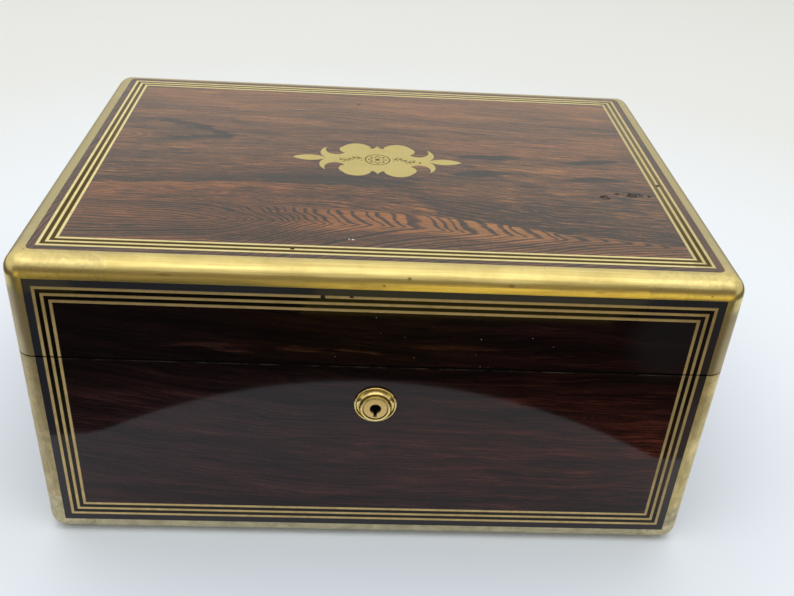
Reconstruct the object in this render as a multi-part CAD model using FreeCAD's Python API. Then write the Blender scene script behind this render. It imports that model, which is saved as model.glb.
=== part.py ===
"""Brass-bound rosewood glove box with a hinged lid and a key lock.

Millimetres. X is to the right, Y to the back, Z up. The origin is the centre
of the underside of the box. The front face is towards -Y.
"""

import FreeCAD
import Part

import math
import os

Vector = FreeCAD.Vector

# Overall case
WIDTH = 300.0
DEPTH = 217.0
HEIGHT = 148.0
BASE_HEIGHT = 101.7
REVEAL = 0.3  # gap between the two rims when the lid is down

# Carcase of the base and the lid
WALL = 11.0  # board and veneer together
FLOOR = 10.0  # underside to the top of the bottom board
LID_TOP = 9.5  # lid top surface to the inside of the top board
RIM_FACING = 1.5
SKIN = 1.5  # veneer, brass sheet and baize lie flush in this depth

# Brass binding
EDGE_RADIUS = 8.0
FLANGE = 8.6  # width of the binding on each face
PANEL_CORNER = 3.0  # round corners of the top veneer panel
LID_LEG_X = 42.0  # corner pieces of the lid, along the front and back
LID_LEG_Y = 40.0  # corner pieces of the lid, along the sides
BASE_LEG = 22.5  # bottom corner pieces

# Brass stringing
STRING_MARGIN = 3.25  # veneer between the binding and the outer line
STRING_WIDTH = 1.35
STRING_PITCH = 3.05
STRING_DEPTH = 0.9
STRING_LINES = 3

# Cartouche in the lid top
CARTOUCHE_HALF_LENGTH = 41.7
CARTOUCHE_HALF_HEIGHT = 19.2
CARTOUCHE_DEPTH = 0.9
CARTOUCHE_X = -1.0
CARTOUCHE_Y = -0.8

# Lock: places from the rim and the front face
LOCK_DROP = 20.1  # rim to the cylinder's axis
LOCK_THICKNESS = 7.0  # case, front to back
LOCK_SHEET = 1.2  # walls of the case and the cover
LOCK_INNER_WIDTH = 64.0
LOCK_BELOW_AXIS = 13.5  # axis to the outside of the case's bottom
TOP_PLATE_LENGTH = 82.0
TOP_PLATE_WIDTH = 8.6
TOP_PLATE_THICKNESS = 2.0
LEDGE_LENGTH = 9.0
POST_RADIUS = 2.2
POST_INSET = 3.6  # post centre from the case's inner walls

# Lock: escutcheon and cylinder
BOSS_RADIUS = 9.2
BOSS_HEIGHT = 4.0
BEAD_WIDTH = 0.8
BEAD_STAND = 0.7  # front of the box to the foot of the bead's round
GROOVE_WIDTH = 0.25
GROOVE_DEPTH = 0.4
COVE_SAG = 0.45
NOSE_RADIUS = 6.5
NOSE_STRAIGHT = 0.9
NOSE_ROUND = 0.3
SPIGOT_RADIUS = 6.3
FACE_RADIUS = 5.4
FACE_THICKNESS = 2.0
FACE_RECESS = 0.35
BARREL_RADIUS = 4.8
BARREL_REACH = 1.0  # end of the barrel inside the case
KEYHOLE_RADIUS = 2.5
KEYHOLE_DEPTH = 8.0
KEY_SLOT_WIDTH = 1.5
KEY_SLOT_DROP = 4.3
KEY_SLOT_DEPTH = 4.0

# Lock: bolt and the hooks that it holds
CAM_RADIUS = 3.2  # cylinder's axis to the cam pin
CAM_PIN_RADIUS = 1.0
CAM_START = 45.0  # degrees from upright at rest
BOLT_THICKNESS = 2.2
BOLT_BAR_HEIGHT = 5.0
ARM_WIDTH = 3.0
FINGER_HEIGHT = 3.4
FINGER_LENGTH = 2.9
TALON_SIDE = 3.6  # width of the bolt beside the cam pin's notch
HOOK_SPACING = 36.0
HOOK_DEPTH = 9.0  # rim of the base to the hook's foot
HOOK_SHANK = 2.6
HOOK_TOE = 2.8
TOE_HEIGHT = 2.6
HOOK_THICKNESS = 2.4
LINK_PLATE_LENGTH = 72.0
LINK_PLATE_THICKNESS = 1.5

# Hinges
HINGE_SPACING = 180.0
HINGE_LENGTH = 42.0
HINGE_LEAF_WIDTH = 9.0
HINGE_LEAF_THICKNESS = 1.8
KNUCKLE_RADIUS = 2.4
KNUCKLES = 5
PIN_RADIUS = 1.15
STOP_REACH = 4.2  # hinge axis to the outside of the stop
STOP_ANGLE = 48.0  # degrees above the axis at which the stop begins
STOP_TOP = 88.0

# Countersunk screws
SCREW_HEAD_RADIUS = 1.9
SCREW_SHANK_RADIUS = 1.0
SCREW_LENGTH = 8.0
COVER_SCREW_LENGTH = 4.5
SCREW_HEAD_DEPTH = 1.1
SCREW_SLOT = 0.5
SCREW_SPACING = 14.0  # along a hinge leaf
SCREWS_PER_LEAF = 3

# Linings
LINING = 2.2
LINING_SET = 1.0  # below the rim of the base, above the rim of the lid
LINING_ROUND = 0.9
FLOOR_PAD = 8.0
FLOOR_PAD_ROUND = 5.0
LID_PAD = 13.0
LID_PAD_ROUND = 8.0

# Clearances
RUNNING = 0.1  # shaft in its bore, radial
SLIDING = 0.3  # moving piece beside a fixed one
SLOT_ROOM = 0.6  # hook in its slot
SEAT = 0.05  # screw in its hole
FABRIC_ROOM = 0.3
OVERRUN = 5.0  # cutting tools run past the faces by this

# Planes and lines that several pieces share
LEFT, RIGHT = -WIDTH / 2, WIDTH / 2
FRONT, BACK = -DEPTH / 2, DEPTH / 2
LID_RIM = BASE_HEIGHT + REVEAL
INNER_X = WIDTH / 2 - WALL
INNER_Y = DEPTH / 2 - WALL
CEILING = HEIGHT - LID_TOP
AXIS_Z = BASE_HEIGHT - LOCK_DROP
LOCK_BACK = -INNER_Y
LOCK_FRONT = LOCK_BACK - LOCK_THICKNESS
CASE_FRONT = LOCK_FRONT + LOCK_SHEET
CASE_BACK = LOCK_BACK - LOCK_SHEET
CASE_TOP = BASE_HEIGHT - TOP_PLATE_THICKNESS
CASE_BOTTOM = AXIS_Z - LOCK_BELOW_AXIS
HOOK_Y = (CASE_FRONT + CASE_BACK) / 2
HINGE_Z = BASE_HEIGHT + REVEAL / 2
BOLT_TRAVEL = 2 * CAM_RADIUS * math.sin(math.radians(CAM_START))

# One quarter of the cartouche, from its tip to the middle of its top, as
# shares of its half length and half height: each row is an arc's middle and end
CARTOUCHE_TIP_SHARE = (1.0, 0.0)
CARTOUCHE_ARC_SHARES = (
    ((0.797, 0.167), (0.609, 0.030)),  # spear
    ((0.677, 0.385), (0.600, 0.708)),  # outside of the horn
    ((0.616, 0.500), (0.576, 0.323)),  # inside of the horn
    ((0.484, 0.253), (0.386, 0.370)),  # waist
    ((0.451, 0.568), (0.408, 0.781)),  # side of the lobe
    ((0.249, 1.000), (0.106, 0.854)),  # top of the lobe
    ((0.082, 0.781), (0.078, 0.682)),  # notch
    ((0.031, 0.745), (0.000, 0.896)),  # middle cusp
)


def block(x0, x1, y0, y1, z0, z1):
    """A box between two corners."""
    return Part.makeBox(x1 - x0, y1 - y0, z1 - z0, Vector(x0, y0, z0))


def rod(radius, start, direction, length):
    """A cylinder from a point along a direction."""
    return Part.makeCylinder(radius, length, start, direction)


def prism(points, direction):
    """A solid swept from a flat polygon."""
    return Part.Face(Part.makePolygon(points + points[:1])).extrude(direction)


def rounded(solid, radius, edges):
    """The solid with the given edges rounded."""
    return solid.makeFillet(radius, edges)


def whole(solids):
    """Several separate solids as one node."""
    return Part.makeCompound([piece for shape in solids for piece in shape.Solids])


def base_zone():
    """Everything up to the rim of the base."""
    return block(LEFT, RIGHT, FRONT, BACK, 0, BASE_HEIGHT)


def lid_zone():
    """Everything from the rim of the lid up."""
    return block(LEFT, RIGHT, FRONT, BACK, LID_RIM, HEIGHT)


def rounded_case(inset):
    """The outside of the case, or the same drawn in by a depth."""
    body = block(LEFT + inset, RIGHT - inset, FRONT + inset, BACK - inset, inset, HEIGHT - inset)
    return rounded(body, EDGE_RADIUS - inset, body.Edges)


OUTSIDE = rounded_case(0)
CORE = rounded_case(SKIN)
SHEATH = OUTSIDE.cut(CORE)


def face_panels():
    """The space of each face between the bands of the binding."""
    x = WIDTH / 2 - FLANGE
    y = DEPTH / 2 - FLANGE
    top = block(-x, x, -y, y, HEIGHT - SKIN, HEIGHT)
    uprights = [edge for edge in top.Edges if edge.BoundBox.ZLength > SKIN / 2]
    low, high = FLANGE, HEIGHT - FLANGE
    return {
        "top": rounded(top, PANEL_CORNER, uprights),
        "bottom": block(-x, x, -y, y, 0, SKIN),
        "front": block(-x, x, FRONT, FRONT + SKIN, low, high),
        "back": block(-x, x, BACK - SKIN, BACK, low, high),
        "left": block(LEFT, LEFT + SKIN, -y, y, low, high),
        "right": block(RIGHT - SKIN, RIGHT, -y, y, low, high),
    }


PANELS = face_panels()
SIDES = ("front", "back", "left", "right")


def wall_spaces(low, high):
    """The four walls between two heights: front and back run the full width."""
    return {
        "front": block(LEFT, RIGHT, FRONT, -INNER_Y, low, high),
        "back": block(LEFT, RIGHT, INNER_Y, BACK, low, high),
        "left": block(LEFT, -INNER_X, -INNER_Y, INNER_Y, low, high),
        "right": block(INNER_X, RIGHT, -INNER_Y, INNER_Y, low, high),
    }


def rim_facings(low, high):
    """Four mitred strips on a rim, between the veneers and the inside."""
    facings = []
    outer_x, outer_y = WIDTH / 2, DEPTH / 2
    for ux, uy in ((0, -1), (0, 1), (-1, 0), (1, 0)):
        if uy:
            points = [(-outer_x, uy * outer_y), (outer_x, uy * outer_y)]
            points += [(outer_x - WALL, uy * INNER_Y), (WALL - outer_x, uy * INNER_Y)]
        else:
            points = [(ux * outer_x, -outer_y), (ux * outer_x, outer_y)]
            points += [(ux * INNER_X, outer_y - WALL), (ux * INNER_X, WALL - outer_y)]
        strip = prism([Vector(x, y, low) for x, y in points], Vector(0, 0, high - low))
        facings.append(strip.common(CORE))
    return facings


def screw(seat, direction, length, grow=0):
    """A countersunk screw whose head lies flush at the seat.

    A grown one, with no slot, is the hole that the screw goes into.
    """
    neck = SCREW_SHANK_RADIUS + grow
    shank = length - SCREW_SHANK_RADIUS + grow
    tip = Part.makeCone(neck, neck / 4, SCREW_SHANK_RADIUS, seat + direction * shank, direction)
    head = Part.makeCone(SCREW_HEAD_RADIUS + grow, neck, SCREW_HEAD_DEPTH, seat, direction)
    body = head.fuse([rod(neck, seat, direction, shank), tip]).removeSplitter()
    if grow:
        return body
    wide = 2 * SCREW_HEAD_RADIUS
    groove = Part.makeBox(wide, SCREW_SLOT, SCREW_SLOT, Vector(-wide / 2, -SCREW_SLOT / 2, 0))
    turn = FreeCAD.Placement(seat, FreeCAD.Rotation(Vector(0, 0, 1), direction))
    groove.Placement = turn.multiply(groove.Placement)
    return body.cut(groove)


def screws(seats):
    """A node of screws, one at each seat."""
    return whole([screw(*seat) for seat in seats])


def screw_holes(seats):
    """The holes of those screws."""
    return [screw(*seat, SEAT) for seat in seats]


def string_strips(half_width, half_height, to_space, depth):
    """Mitred brass lines round a face, each of four strips.

    The lines lie in the plane of two directions, and to_space places them.
    """
    strips = []
    for line in range(STRING_LINES):
        outer = FLANGE + STRING_MARGIN + line * STRING_PITCH
        inner = outer + STRING_WIDTH
        for sign in (-1, 1):
            u, v = half_width - outer, half_height - outer
            p, q = half_width - inner, half_height - inner
            level = [(-u, sign * v), (u, sign * v), (p, sign * q), (-p, sign * q)]
            upright = [(sign * u, -v), (sign * u, v), (sign * p, q), (sign * p, -q)]
            for corners in (level, upright):
                strips.append(prism([to_space(*corner) for corner in corners], depth))
    return strips


def top_strings():
    """The lines of the lid top."""

    def place(u, v):
        return Vector(u, v, HEIGHT)

    return string_strips(WIDTH / 2, DEPTH / 2, place, Vector(0, 0, -STRING_DEPTH))


def front_strings():
    """The lines of the front, across the lid and the base."""

    def place(u, v):
        return Vector(u, FRONT, HEIGHT / 2 + v)

    return string_strips(WIDTH / 2, HEIGHT / 2, place, Vector(0, STRING_DEPTH, 0))


def cartouche():
    """The brass inlay of the lid top: one quarter's arcs, mirrored both ways."""

    def at(share, sign_x, sign_y):
        x = CARTOUCHE_X + sign_x * share[0] * CARTOUCHE_HALF_LENGTH
        y = CARTOUCHE_Y + sign_y * share[1] * CARTOUCHE_HALF_HEIGHT
        return Vector(x, y, HEIGHT)

    edges = []
    for sign_x, sign_y in ((1, 1), (-1, 1), (-1, -1), (1, -1)):
        begin = CARTOUCHE_TIP_SHARE
        for middle, end in CARTOUCHE_ARC_SHARES:
            ends = [at(share, sign_x, sign_y) for share in (begin, middle, end)]
            edges.append(Part.Arc(*ends).toShape())
            begin = end
    outline = Part.Wire(Part.__sortEdges__(edges))
    return Part.Face(outline).extrude(Vector(0, 0, -CARTOUCHE_DEPTH))


def lid_binding():
    """Brass of the lid: four corner pieces and the strips between them."""
    brass = SHEATH.cut([PANELS["top"]] + [PANELS[side] for side in SIDES]).common(lid_zone())
    x, y = WIDTH / 2 - LID_LEG_X, DEPTH / 2 - LID_LEG_Y
    corners, strips = [], []
    for sx in (-1, 1):
        for sy in (-1, 1):
            xs, ys = sorted((sx * x, sx * WIDTH / 2)), sorted((sy * y, sy * DEPTH / 2))
            corners.append(brass.common(block(*xs, *ys, LID_RIM, HEIGHT)))
    for sign in (-1, 1):
        ys = sorted((sign * DEPTH / 2, sign * (DEPTH / 2 - FLANGE)))
        xs = sorted((sign * WIDTH / 2, sign * (WIDTH / 2 - FLANGE)))
        strips.append(brass.common(block(-x, x, *ys, HEIGHT - FLANGE, HEIGHT)))
        strips.append(brass.common(block(*xs, -y, y, HEIGHT - FLANGE, HEIGHT)))
    return corners, strips


def base_binding():
    """Brass of the base: bottom corners, bottom strips and corner uprights."""
    brass = SHEATH.cut([PANELS["bottom"]] + [PANELS[side] for side in SIDES]).common(base_zone())
    x, y = WIDTH / 2 - BASE_LEG, DEPTH / 2 - BASE_LEG
    corners, strips, uprights = [], [], []
    for sx in (-1, 1):
        for sy in (-1, 1):
            xs, ys = sorted((sx * x, sx * WIDTH / 2)), sorted((sy * y, sy * DEPTH / 2))
            corners.append(brass.common(block(*xs, *ys, 0, BASE_LEG)))
            uprights.append(brass.common(block(*xs, *ys, BASE_LEG, BASE_HEIGHT)))
    for sign in (-1, 1):
        ys = sorted((sign * DEPTH / 2, sign * (DEPTH / 2 - FLANGE)))
        xs = sorted((sign * WIDTH / 2, sign * (WIDTH / 2 - FLANGE)))
        strips.append(brass.common(block(-x, x, *ys, 0, FLANGE)))
        strips.append(brass.common(block(*xs, -y, y, 0, FLANGE)))
    return corners, strips, uprights


# Hinges


def sector(x0, x1, inner, outer, start, end):
    """A bar along X: part of a ring round the hinge axis, angles from +Y up."""

    def at(radius, degrees):
        angle = math.radians(degrees)
        return Vector(x0, BACK + radius * math.cos(angle), HINGE_Z + radius * math.sin(angle))

    middle = (start + end) / 2
    outline = Part.Wire(
        [
            Part.makeLine(at(inner, start), at(outer, start)),
            Part.Arc(at(outer, start), at(outer, middle), at(outer, end)).toShape(),
            Part.makeLine(at(outer, end), at(inner, end)),
            Part.Arc(at(inner, end), at(inner, middle), at(inner, start)).toShape(),
        ]
    )
    return Part.Face(outline).extrude(Vector(x1 - x0, 0, 0))


def hinge_rod(x0, x1, radius):
    """A cylinder on the hinge axis."""
    return rod(radius, Vector(x0, BACK, HINGE_Z), Vector(1, 0, 0), x1 - x0)


def knuckle_spans(centre, own):
    """The stretches of the barrel that one leaf has: its own, or the other's."""
    pitch = HINGE_LENGTH / KNUCKLES
    start = centre - HINGE_LENGTH / 2
    spans = []
    for number in range(KNUCKLES):
        if (number % 2 == 0) == own:
            spans.append((start + number * pitch, start + (number + 1) * pitch))
    return spans


def leaf_levels(lower):
    """The underside and the top of a leaf, flush with its rim."""
    if lower:
        return BASE_HEIGHT - HINGE_LEAF_THICKNESS, BASE_HEIGHT
    return LID_RIM, LID_RIM + HINGE_LEAF_THICKNESS


def hinge_leaf(centre, lower):
    """One leaf with its knuckles and its stop, lower in the base or upper in the lid."""
    x0, x1 = centre - HINGE_LENGTH / 2, centre + HINGE_LENGTH / 2
    levels = leaf_levels(lower)
    angles = (-STOP_TOP, -STOP_ANGLE) if lower else (STOP_ANGLE, STOP_TOP)
    clear = KNUCKLE_RADIUS + SLIDING
    plate = block(x0, x1, BACK - HINGE_LEAF_WIDTH, BACK, *levels).cut(hinge_rod(x0, x1, clear))
    pieces = [sector(x0, x1, clear, STOP_REACH, *angles)]
    for begin, end in knuckle_spans(centre, lower):
        low, high = begin + SLIDING / 2, end - SLIDING / 2
        pieces.append(hinge_rod(low, high, KNUCKLE_RADIUS))
        pieces.append(sector(low, high, PIN_RADIUS + RUNNING, STOP_REACH, *angles))
        pieces.append(block(low, high, BACK - clear - SLIDING, BACK, *levels))
    bore = hinge_rod(x0, x1, PIN_RADIUS + RUNNING)
    return plate.fuse(pieces).cut(bore).removeSplitter()


def hinge_hollows(centre):
    """What the two leaves take out of the wood, the veneers and the facings."""
    x0, x1 = centre - HINGE_LENGTH / 2, centre + HINGE_LENGTH / 2
    low, high = leaf_levels(True)[0], leaf_levels(False)[1]
    barrel = hinge_rod(x0 - SLIDING, x1 + SLIDING, KNUCKLE_RADIUS + SLIDING)
    return [block(x0, x1, BACK - HINGE_LEAF_WIDTH, BACK + OVERRUN, low, high), barrel]


def hinge_screw_seats(centre, lower):
    """Places, directions and lengths of a leaf's screws, in the middle of its flat."""
    y = BACK - (HINGE_LEAF_WIDTH + KNUCKLE_RADIUS + SLIDING) / 2
    z, inwards = (BASE_HEIGHT, -1) if lower else (LID_RIM, 1)
    first = centre - (SCREWS_PER_LEAF - 1) * SCREW_SPACING / 2
    places = [Vector(first + number * SCREW_SPACING, y, z) for number in range(SCREWS_PER_LEAF)]
    return [(place, Vector(0, 0, inwards), SCREW_LENGTH) for place in places]


# Lock


def escutcheon():
    """The raised ring round the cylinder and its spigot in the wood.

    From the outside in, it has a bead, a fine groove, a cove and a nose.
    """
    nose = FRONT - BOSS_HEIGHT

    def at(radius, back):
        return Vector(radius, nose + back, AXIS_Z)

    shoulder = BOSS_HEIGHT - BEAD_STAND
    bead_inside = BOSS_RADIUS - BEAD_WIDTH
    cove_outside = bead_inside - GROOVE_WIDTH
    step = FACE_RECESS + FACE_THICKNESS
    depth = LOCK_FRONT - nose
    bore, mouth = BARREL_RADIUS + RUNNING, FACE_RADIUS + 2 * RUNNING
    half_round = NOSE_ROUND * (1 - math.sqrt(1 / 2))
    start, end = at(NOSE_RADIUS, NOSE_STRAIGHT), at(cove_outside, shoulder)
    chord = end - start
    across = Vector(-chord.y, chord.x, 0).normalize()
    bead_top = at(BOSS_RADIUS - BEAD_WIDTH / 2, shoulder - BEAD_WIDTH / 2)
    round_start, round_end = at(NOSE_RADIUS - NOSE_ROUND, 0), at(NOSE_RADIUS, NOSE_ROUND)
    edges = [
        Part.makeLine(at(mouth, 0), round_start),
        Part.Arc(round_start, at(NOSE_RADIUS - half_round, half_round), round_end).toShape(),
        Part.makeLine(round_end, start),
        Part.Arc(start, (start + end) / 2 + across * COVE_SAG, end).toShape(),
    ]
    outline = [end, at(cove_outside, shoulder + GROOVE_DEPTH), at(bead_inside, shoulder + GROOVE_DEPTH)]
    outline += [at(bead_inside, shoulder)]
    edges += Part.makePolygon(outline).Edges
    edges.append(Part.Arc(at(bead_inside, shoulder), bead_top, at(BOSS_RADIUS, shoulder)).toShape())
    outline = [at(BOSS_RADIUS, shoulder), at(BOSS_RADIUS, BOSS_HEIGHT), at(SPIGOT_RADIUS, BOSS_HEIGHT)]
    outline += [at(SPIGOT_RADIUS, depth), at(bore, depth), at(bore, step), at(mouth, step), at(mouth, 0)]
    edges += Part.makePolygon(outline).Edges
    return Part.Face(Part.Wire(edges)).revolve(at(0, 0), Vector(0, 1, 0), 360)


def lock_cylinder():
    """The turning cylinder: keyed face, barrel and cam pin."""
    face_front = FRONT - BOSS_HEIGHT + FACE_RECESS
    back = Vector(0, 1, 0)
    end = CASE_FRONT + BARREL_REACH
    head = rod(FACE_RADIUS, Vector(0, face_front, AXIS_Z), back, FACE_THICKNESS)
    barrel = rod(BARREL_RADIUS, Vector(0, face_front, AXIS_Z), back, end - face_front)
    angle = math.radians(CAM_START)
    pin_at = Vector(-CAM_RADIUS * math.sin(angle), end - SEAT, AXIS_Z + CAM_RADIUS * math.cos(angle))
    pin_end = HOOK_Y + BOLT_THICKNESS / 2 + SLIDING
    pin = rod(CAM_PIN_RADIUS, pin_at, back, pin_end - pin_at.y)
    keyhole = rod(KEYHOLE_RADIUS, Vector(0, face_front - OVERRUN, AXIS_Z), back, OVERRUN + KEYHOLE_DEPTH)
    half = KEY_SLOT_WIDTH / 2
    slot_back = face_front + KEY_SLOT_DEPTH
    slot = block(-half, half, face_front - OVERRUN, slot_back, AXIS_Z - KEY_SLOT_DROP, AXIS_Z)
    return head.fuse([barrel, pin]).cut([keyhole, slot]).removeSplitter()


def hook_places():
    """The middle of each hook's shank."""
    return (-HOOK_SPACING / 2, HOOK_SPACING / 2)


def lock_bolt():
    """The sliding bolt: a bar with a notch for the cam pin and two fingers."""
    y0, y1 = HOOK_Y - BOLT_THICKNESS / 2, HOOK_Y + BOLT_THICKNESS / 2
    finger_top = CASE_TOP - SLIDING
    finger_low = finger_top - FINGER_HEIGHT
    bar_top = BASE_HEIGHT - HOOK_DEPTH - 2 * SLIDING
    bar_low = bar_top - BOLT_BAR_HEIGHT
    reach = HOOK_SHANK / 2 + SLIDING + BOLT_TRAVEL
    pieces = []
    ends = []
    for hook in hook_places():
        tip = hook - reach
        root = tip - FINGER_LENGTH
        pieces.append(block(root - ARM_WIDTH, tip, y0, y1, finger_low, finger_top))
        pieces.append(block(root - ARM_WIDTH, root, y0, y1, bar_low, finger_top))
        ends += [root - ARM_WIDTH, root]
    bar = block(min(ends), max(ends), y0, y1, bar_low, bar_top)
    cam_side = CAM_RADIUS * math.sin(math.radians(CAM_START))
    notch = CAM_PIN_RADIUS + SLIDING
    notch_top = AXIS_Z + CAM_RADIUS + notch
    lowest = AXIS_Z + CAM_RADIUS * math.cos(math.radians(CAM_START)) - notch
    talon = block(-cam_side - notch - TALON_SIDE, -cam_side + notch + TALON_SIDE, y0, y1, lowest, bar_top)
    room = block(-cam_side - notch, -cam_side + notch, y0, y1, lowest, notch_top)
    return bar.fuse(pieces + [talon]).cut(room).removeSplitter()


def lock_posts():
    """The two posts that the cover is screwed to."""
    x = LOCK_INNER_WIDTH / 2 - POST_INSET
    z = CASE_BOTTOM + LOCK_SHEET + POST_INSET
    return [Vector(-x, CASE_BACK, z), Vector(x, CASE_BACK, z)]


def lock_case():
    """The box of the lock, open at the back, with its top plate and ledges."""
    half = LOCK_INNER_WIDTH / 2
    outer = half + LOCK_SHEET
    box = block(-outer, outer, LOCK_FRONT, LOCK_BACK, CASE_BOTTOM, CASE_TOP)
    room = block(-half, half, CASE_FRONT, LOCK_BACK, CASE_BOTTOM + LOCK_SHEET, CASE_TOP)
    plate_end = TOP_PLATE_LENGTH / 2
    plate_front = LOCK_BACK - TOP_PLATE_WIDTH
    plate = block(-plate_end, plate_end, plate_front, LOCK_BACK, CASE_TOP, BASE_HEIGHT)
    bar_low = BASE_HEIGHT - HOOK_DEPTH - 2 * SLIDING - BOLT_BAR_HEIGHT
    ledge_top = bar_low - SLIDING
    ledge_low = ledge_top - LOCK_SHEET
    ledges = [
        block(-half, LEDGE_LENGTH - half, CASE_FRONT, CASE_BACK, ledge_low, ledge_top),
        block(half - 2 * LEDGE_LENGTH, half, CASE_FRONT, CASE_BACK, ledge_low, ledge_top),
    ]
    back = Vector(0, 1, 0)
    posts = [
        rod(POST_RADIUS, Vector(post.x, CASE_FRONT, post.z), back, CASE_BACK - CASE_FRONT)
        for post in lock_posts()
    ]
    body = box.cut(room).fuse([plate] + ledges + posts)
    hole_start = Vector(0, LOCK_FRONT - OVERRUN, AXIS_Z)
    cuts = [rod(BARREL_RADIUS + RUNNING, hole_start, back, OVERRUN + LOCK_SHEET)]
    across = HOOK_THICKNESS / 2 + SLOT_ROOM
    for hook in hook_places():
        x0 = hook - HOOK_SHANK / 2 - HOOK_TOE - SLOT_ROOM
        x1 = hook + HOOK_SHANK / 2 + SLOT_ROOM
        cuts.append(block(x0, x1, HOOK_Y - across, HOOK_Y + across, CASE_TOP - OVERRUN, BASE_HEIGHT))
    cuts += screw_holes(top_plate_seats() + cover_seats())
    return body.cut(cuts).removeSplitter()


def lock_cover():
    """The plate that closes the back of the lock."""
    outer = LOCK_INNER_WIDTH / 2
    plate = block(-outer, outer, CASE_BACK, LOCK_BACK, CASE_BOTTOM + LOCK_SHEET, CASE_TOP)
    return plate.cut(screw_holes(cover_seats()))


def top_plate_seats():
    """The screws at the ends of the lock's top plate."""
    x = (LOCK_INNER_WIDTH / 2 + LOCK_SHEET + TOP_PLATE_LENGTH / 2) / 2
    y = LOCK_BACK - TOP_PLATE_WIDTH / 2
    return [(Vector(sign * x, y, BASE_HEIGHT), Vector(0, 0, -1), SCREW_LENGTH) for sign in (-1, 1)]


def cover_seats():
    """The screws of the lock's cover, one in each post."""
    forwards = Vector(0, -1, 0)
    return [(Vector(post.x, LOCK_BACK, post.z), forwards, COVER_SCREW_LENGTH) for post in lock_posts()]


def link_seats():
    """The screws at the ends of the lid's link plate."""
    x = (LINK_PLATE_LENGTH / 2 + HOOK_SPACING / 2 + HOOK_SHANK) / 2
    y = LOCK_BACK - TOP_PLATE_WIDTH / 2
    return [(Vector(sign * x, y, LID_RIM), Vector(0, 0, 1), SCREW_LENGTH) for sign in (-1, 1)]


def link_plate_blank():
    """The flat of the link plate, let into the lid's rim."""
    half = LINK_PLATE_LENGTH / 2
    top = LID_RIM + LINK_PLATE_THICKNESS
    return block(-half, half, LOCK_BACK - TOP_PLATE_WIDTH, LOCK_BACK, LID_RIM, top)


def link_plate():
    """The plate under the lid's front rim, with the two hooks that the bolt holds."""
    y0, y1 = HOOK_Y - HOOK_THICKNESS / 2, HOOK_Y + HOOK_THICKNESS / 2
    foot = BASE_HEIGHT - HOOK_DEPTH
    hooks = []
    for hook in hook_places():
        x0, x1 = hook - HOOK_SHANK / 2, hook + HOOK_SHANK / 2
        hooks.append(block(x0, x1, y0, y1, foot, LID_RIM + LINK_PLATE_THICKNESS))
        hooks.append(block(x0 - HOOK_TOE, x1, y0, y1, foot, foot + TOE_HEIGHT))
    return link_plate_blank().fuse(hooks).cut(screw_holes(link_seats())).removeSplitter()


# Linings


def lies_at(edge, level):
    """Whether an edge lies level at a height."""
    return abs(edge.BoundBox.ZMin - level) < SEAT and abs(edge.BoundBox.ZMax - level) < SEAT


def wall_linings(low, high, rim):
    """Four lining boards against the inside of the walls, the rim edge rounded."""
    x, y = INNER_X, INNER_Y
    spaces = {
        "front": block(-x, x, -y, LINING - y, low, high),
        "back": block(-x, x, y - LINING, y, low, high),
        "left": block(-x, LINING - x, LINING - y, y - LINING, low, high),
        "right": block(x - LINING, x, LINING - y, y - LINING, low, high),
    }
    for side, board in spaces.items():
        box = board.BoundBox
        inside = {"front": box.YMax, "back": box.YMin, "left": box.XMax, "right": box.XMin}[side]
        picked = []
        for edge in board.Edges:
            place = edge.BoundBox
            across = place.YMin if side in ("front", "back") else place.XMin
            long_way = max(place.XLength, place.YLength) > 2 * LINING
            if lies_at(edge, rim) and long_way and abs(across - inside) < SEAT:
                picked.append(edge)
        spaces[side] = rounded(board, LINING_ROUND, picked)
    return spaces


def pad(low, high, radius, round_at):
    """A cushion between the linings, with the edges at one height drawn in."""
    x, y = INNER_X - LINING - FABRIC_ROOM, INNER_Y - LINING - FABRIC_ROOM
    body = block(-x, x, -y, y, low, high)
    picked = [edge for edge in body.Edges if lies_at(edge, round_at)]
    return rounded(body, radius, picked)


# Sub-assemblies


def hinge_centres():
    """The middle of each hinge."""
    return (-HINGE_SPACING / 2, HINGE_SPACING / 2)


def hinge_nodes():
    """Both hinges: leaves, pins and screws."""
    centres = hinge_centres()
    lower = [seat for centre in centres for seat in hinge_screw_seats(centre, True)]
    upper = [seat for centre in centres for seat in hinge_screw_seats(centre, False)]
    leaves = {}
    for name, is_lower, seats in (("hinge_base_leaves", True, lower), ("hinge_lid_leaves", False, upper)):
        holes = screw_holes(seats)
        leaves[name] = whole([hinge_leaf(centre, is_lower).cut(holes) for centre in centres])
    half = HINGE_LENGTH / 2
    pins = [hinge_rod(centre - half, centre + half, PIN_RADIUS) for centre in centres]
    leaves["hinge_pins"] = whole(pins)
    leaves["hinge_base_screws"] = screws(lower)
    leaves["hinge_lid_screws"] = screws(upper)
    return leaves


def lock_nodes():
    """The lock in the base and its link plate in the lid."""
    return {
        "lock_case": lock_case(),
        "lock_cover": lock_cover(),
        "lock_cover_screws": screws(cover_seats()),
        "lock_plate_screws": screws(top_plate_seats()),
        "lock_escutcheon": escutcheon(),
        "lock_cylinder": lock_cylinder(),
        "lock_bolt": lock_bolt(),
        "link_plate": link_plate(),
        "link_plate_screws": screws(link_seats()),
    }


def lock_hollow():
    """What the lock takes out of the front wall of the base."""
    outer = LOCK_INNER_WIDTH / 2 + LOCK_SHEET
    end = TOP_PLATE_LENGTH / 2
    mortise = block(-outer, outer, LOCK_FRONT, LOCK_BACK, CASE_BOTTOM, BASE_HEIGHT)
    plate = block(-end, end, LOCK_BACK - TOP_PLATE_WIDTH, LOCK_BACK, CASE_TOP, BASE_HEIGHT)
    start = Vector(0, FRONT - OVERRUN, AXIS_Z)
    hole = rod(SPIGOT_RADIUS + RUNNING, start, Vector(0, 1, 0), LOCK_FRONT - start.y)
    return [mortise, plate, hole]


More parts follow.
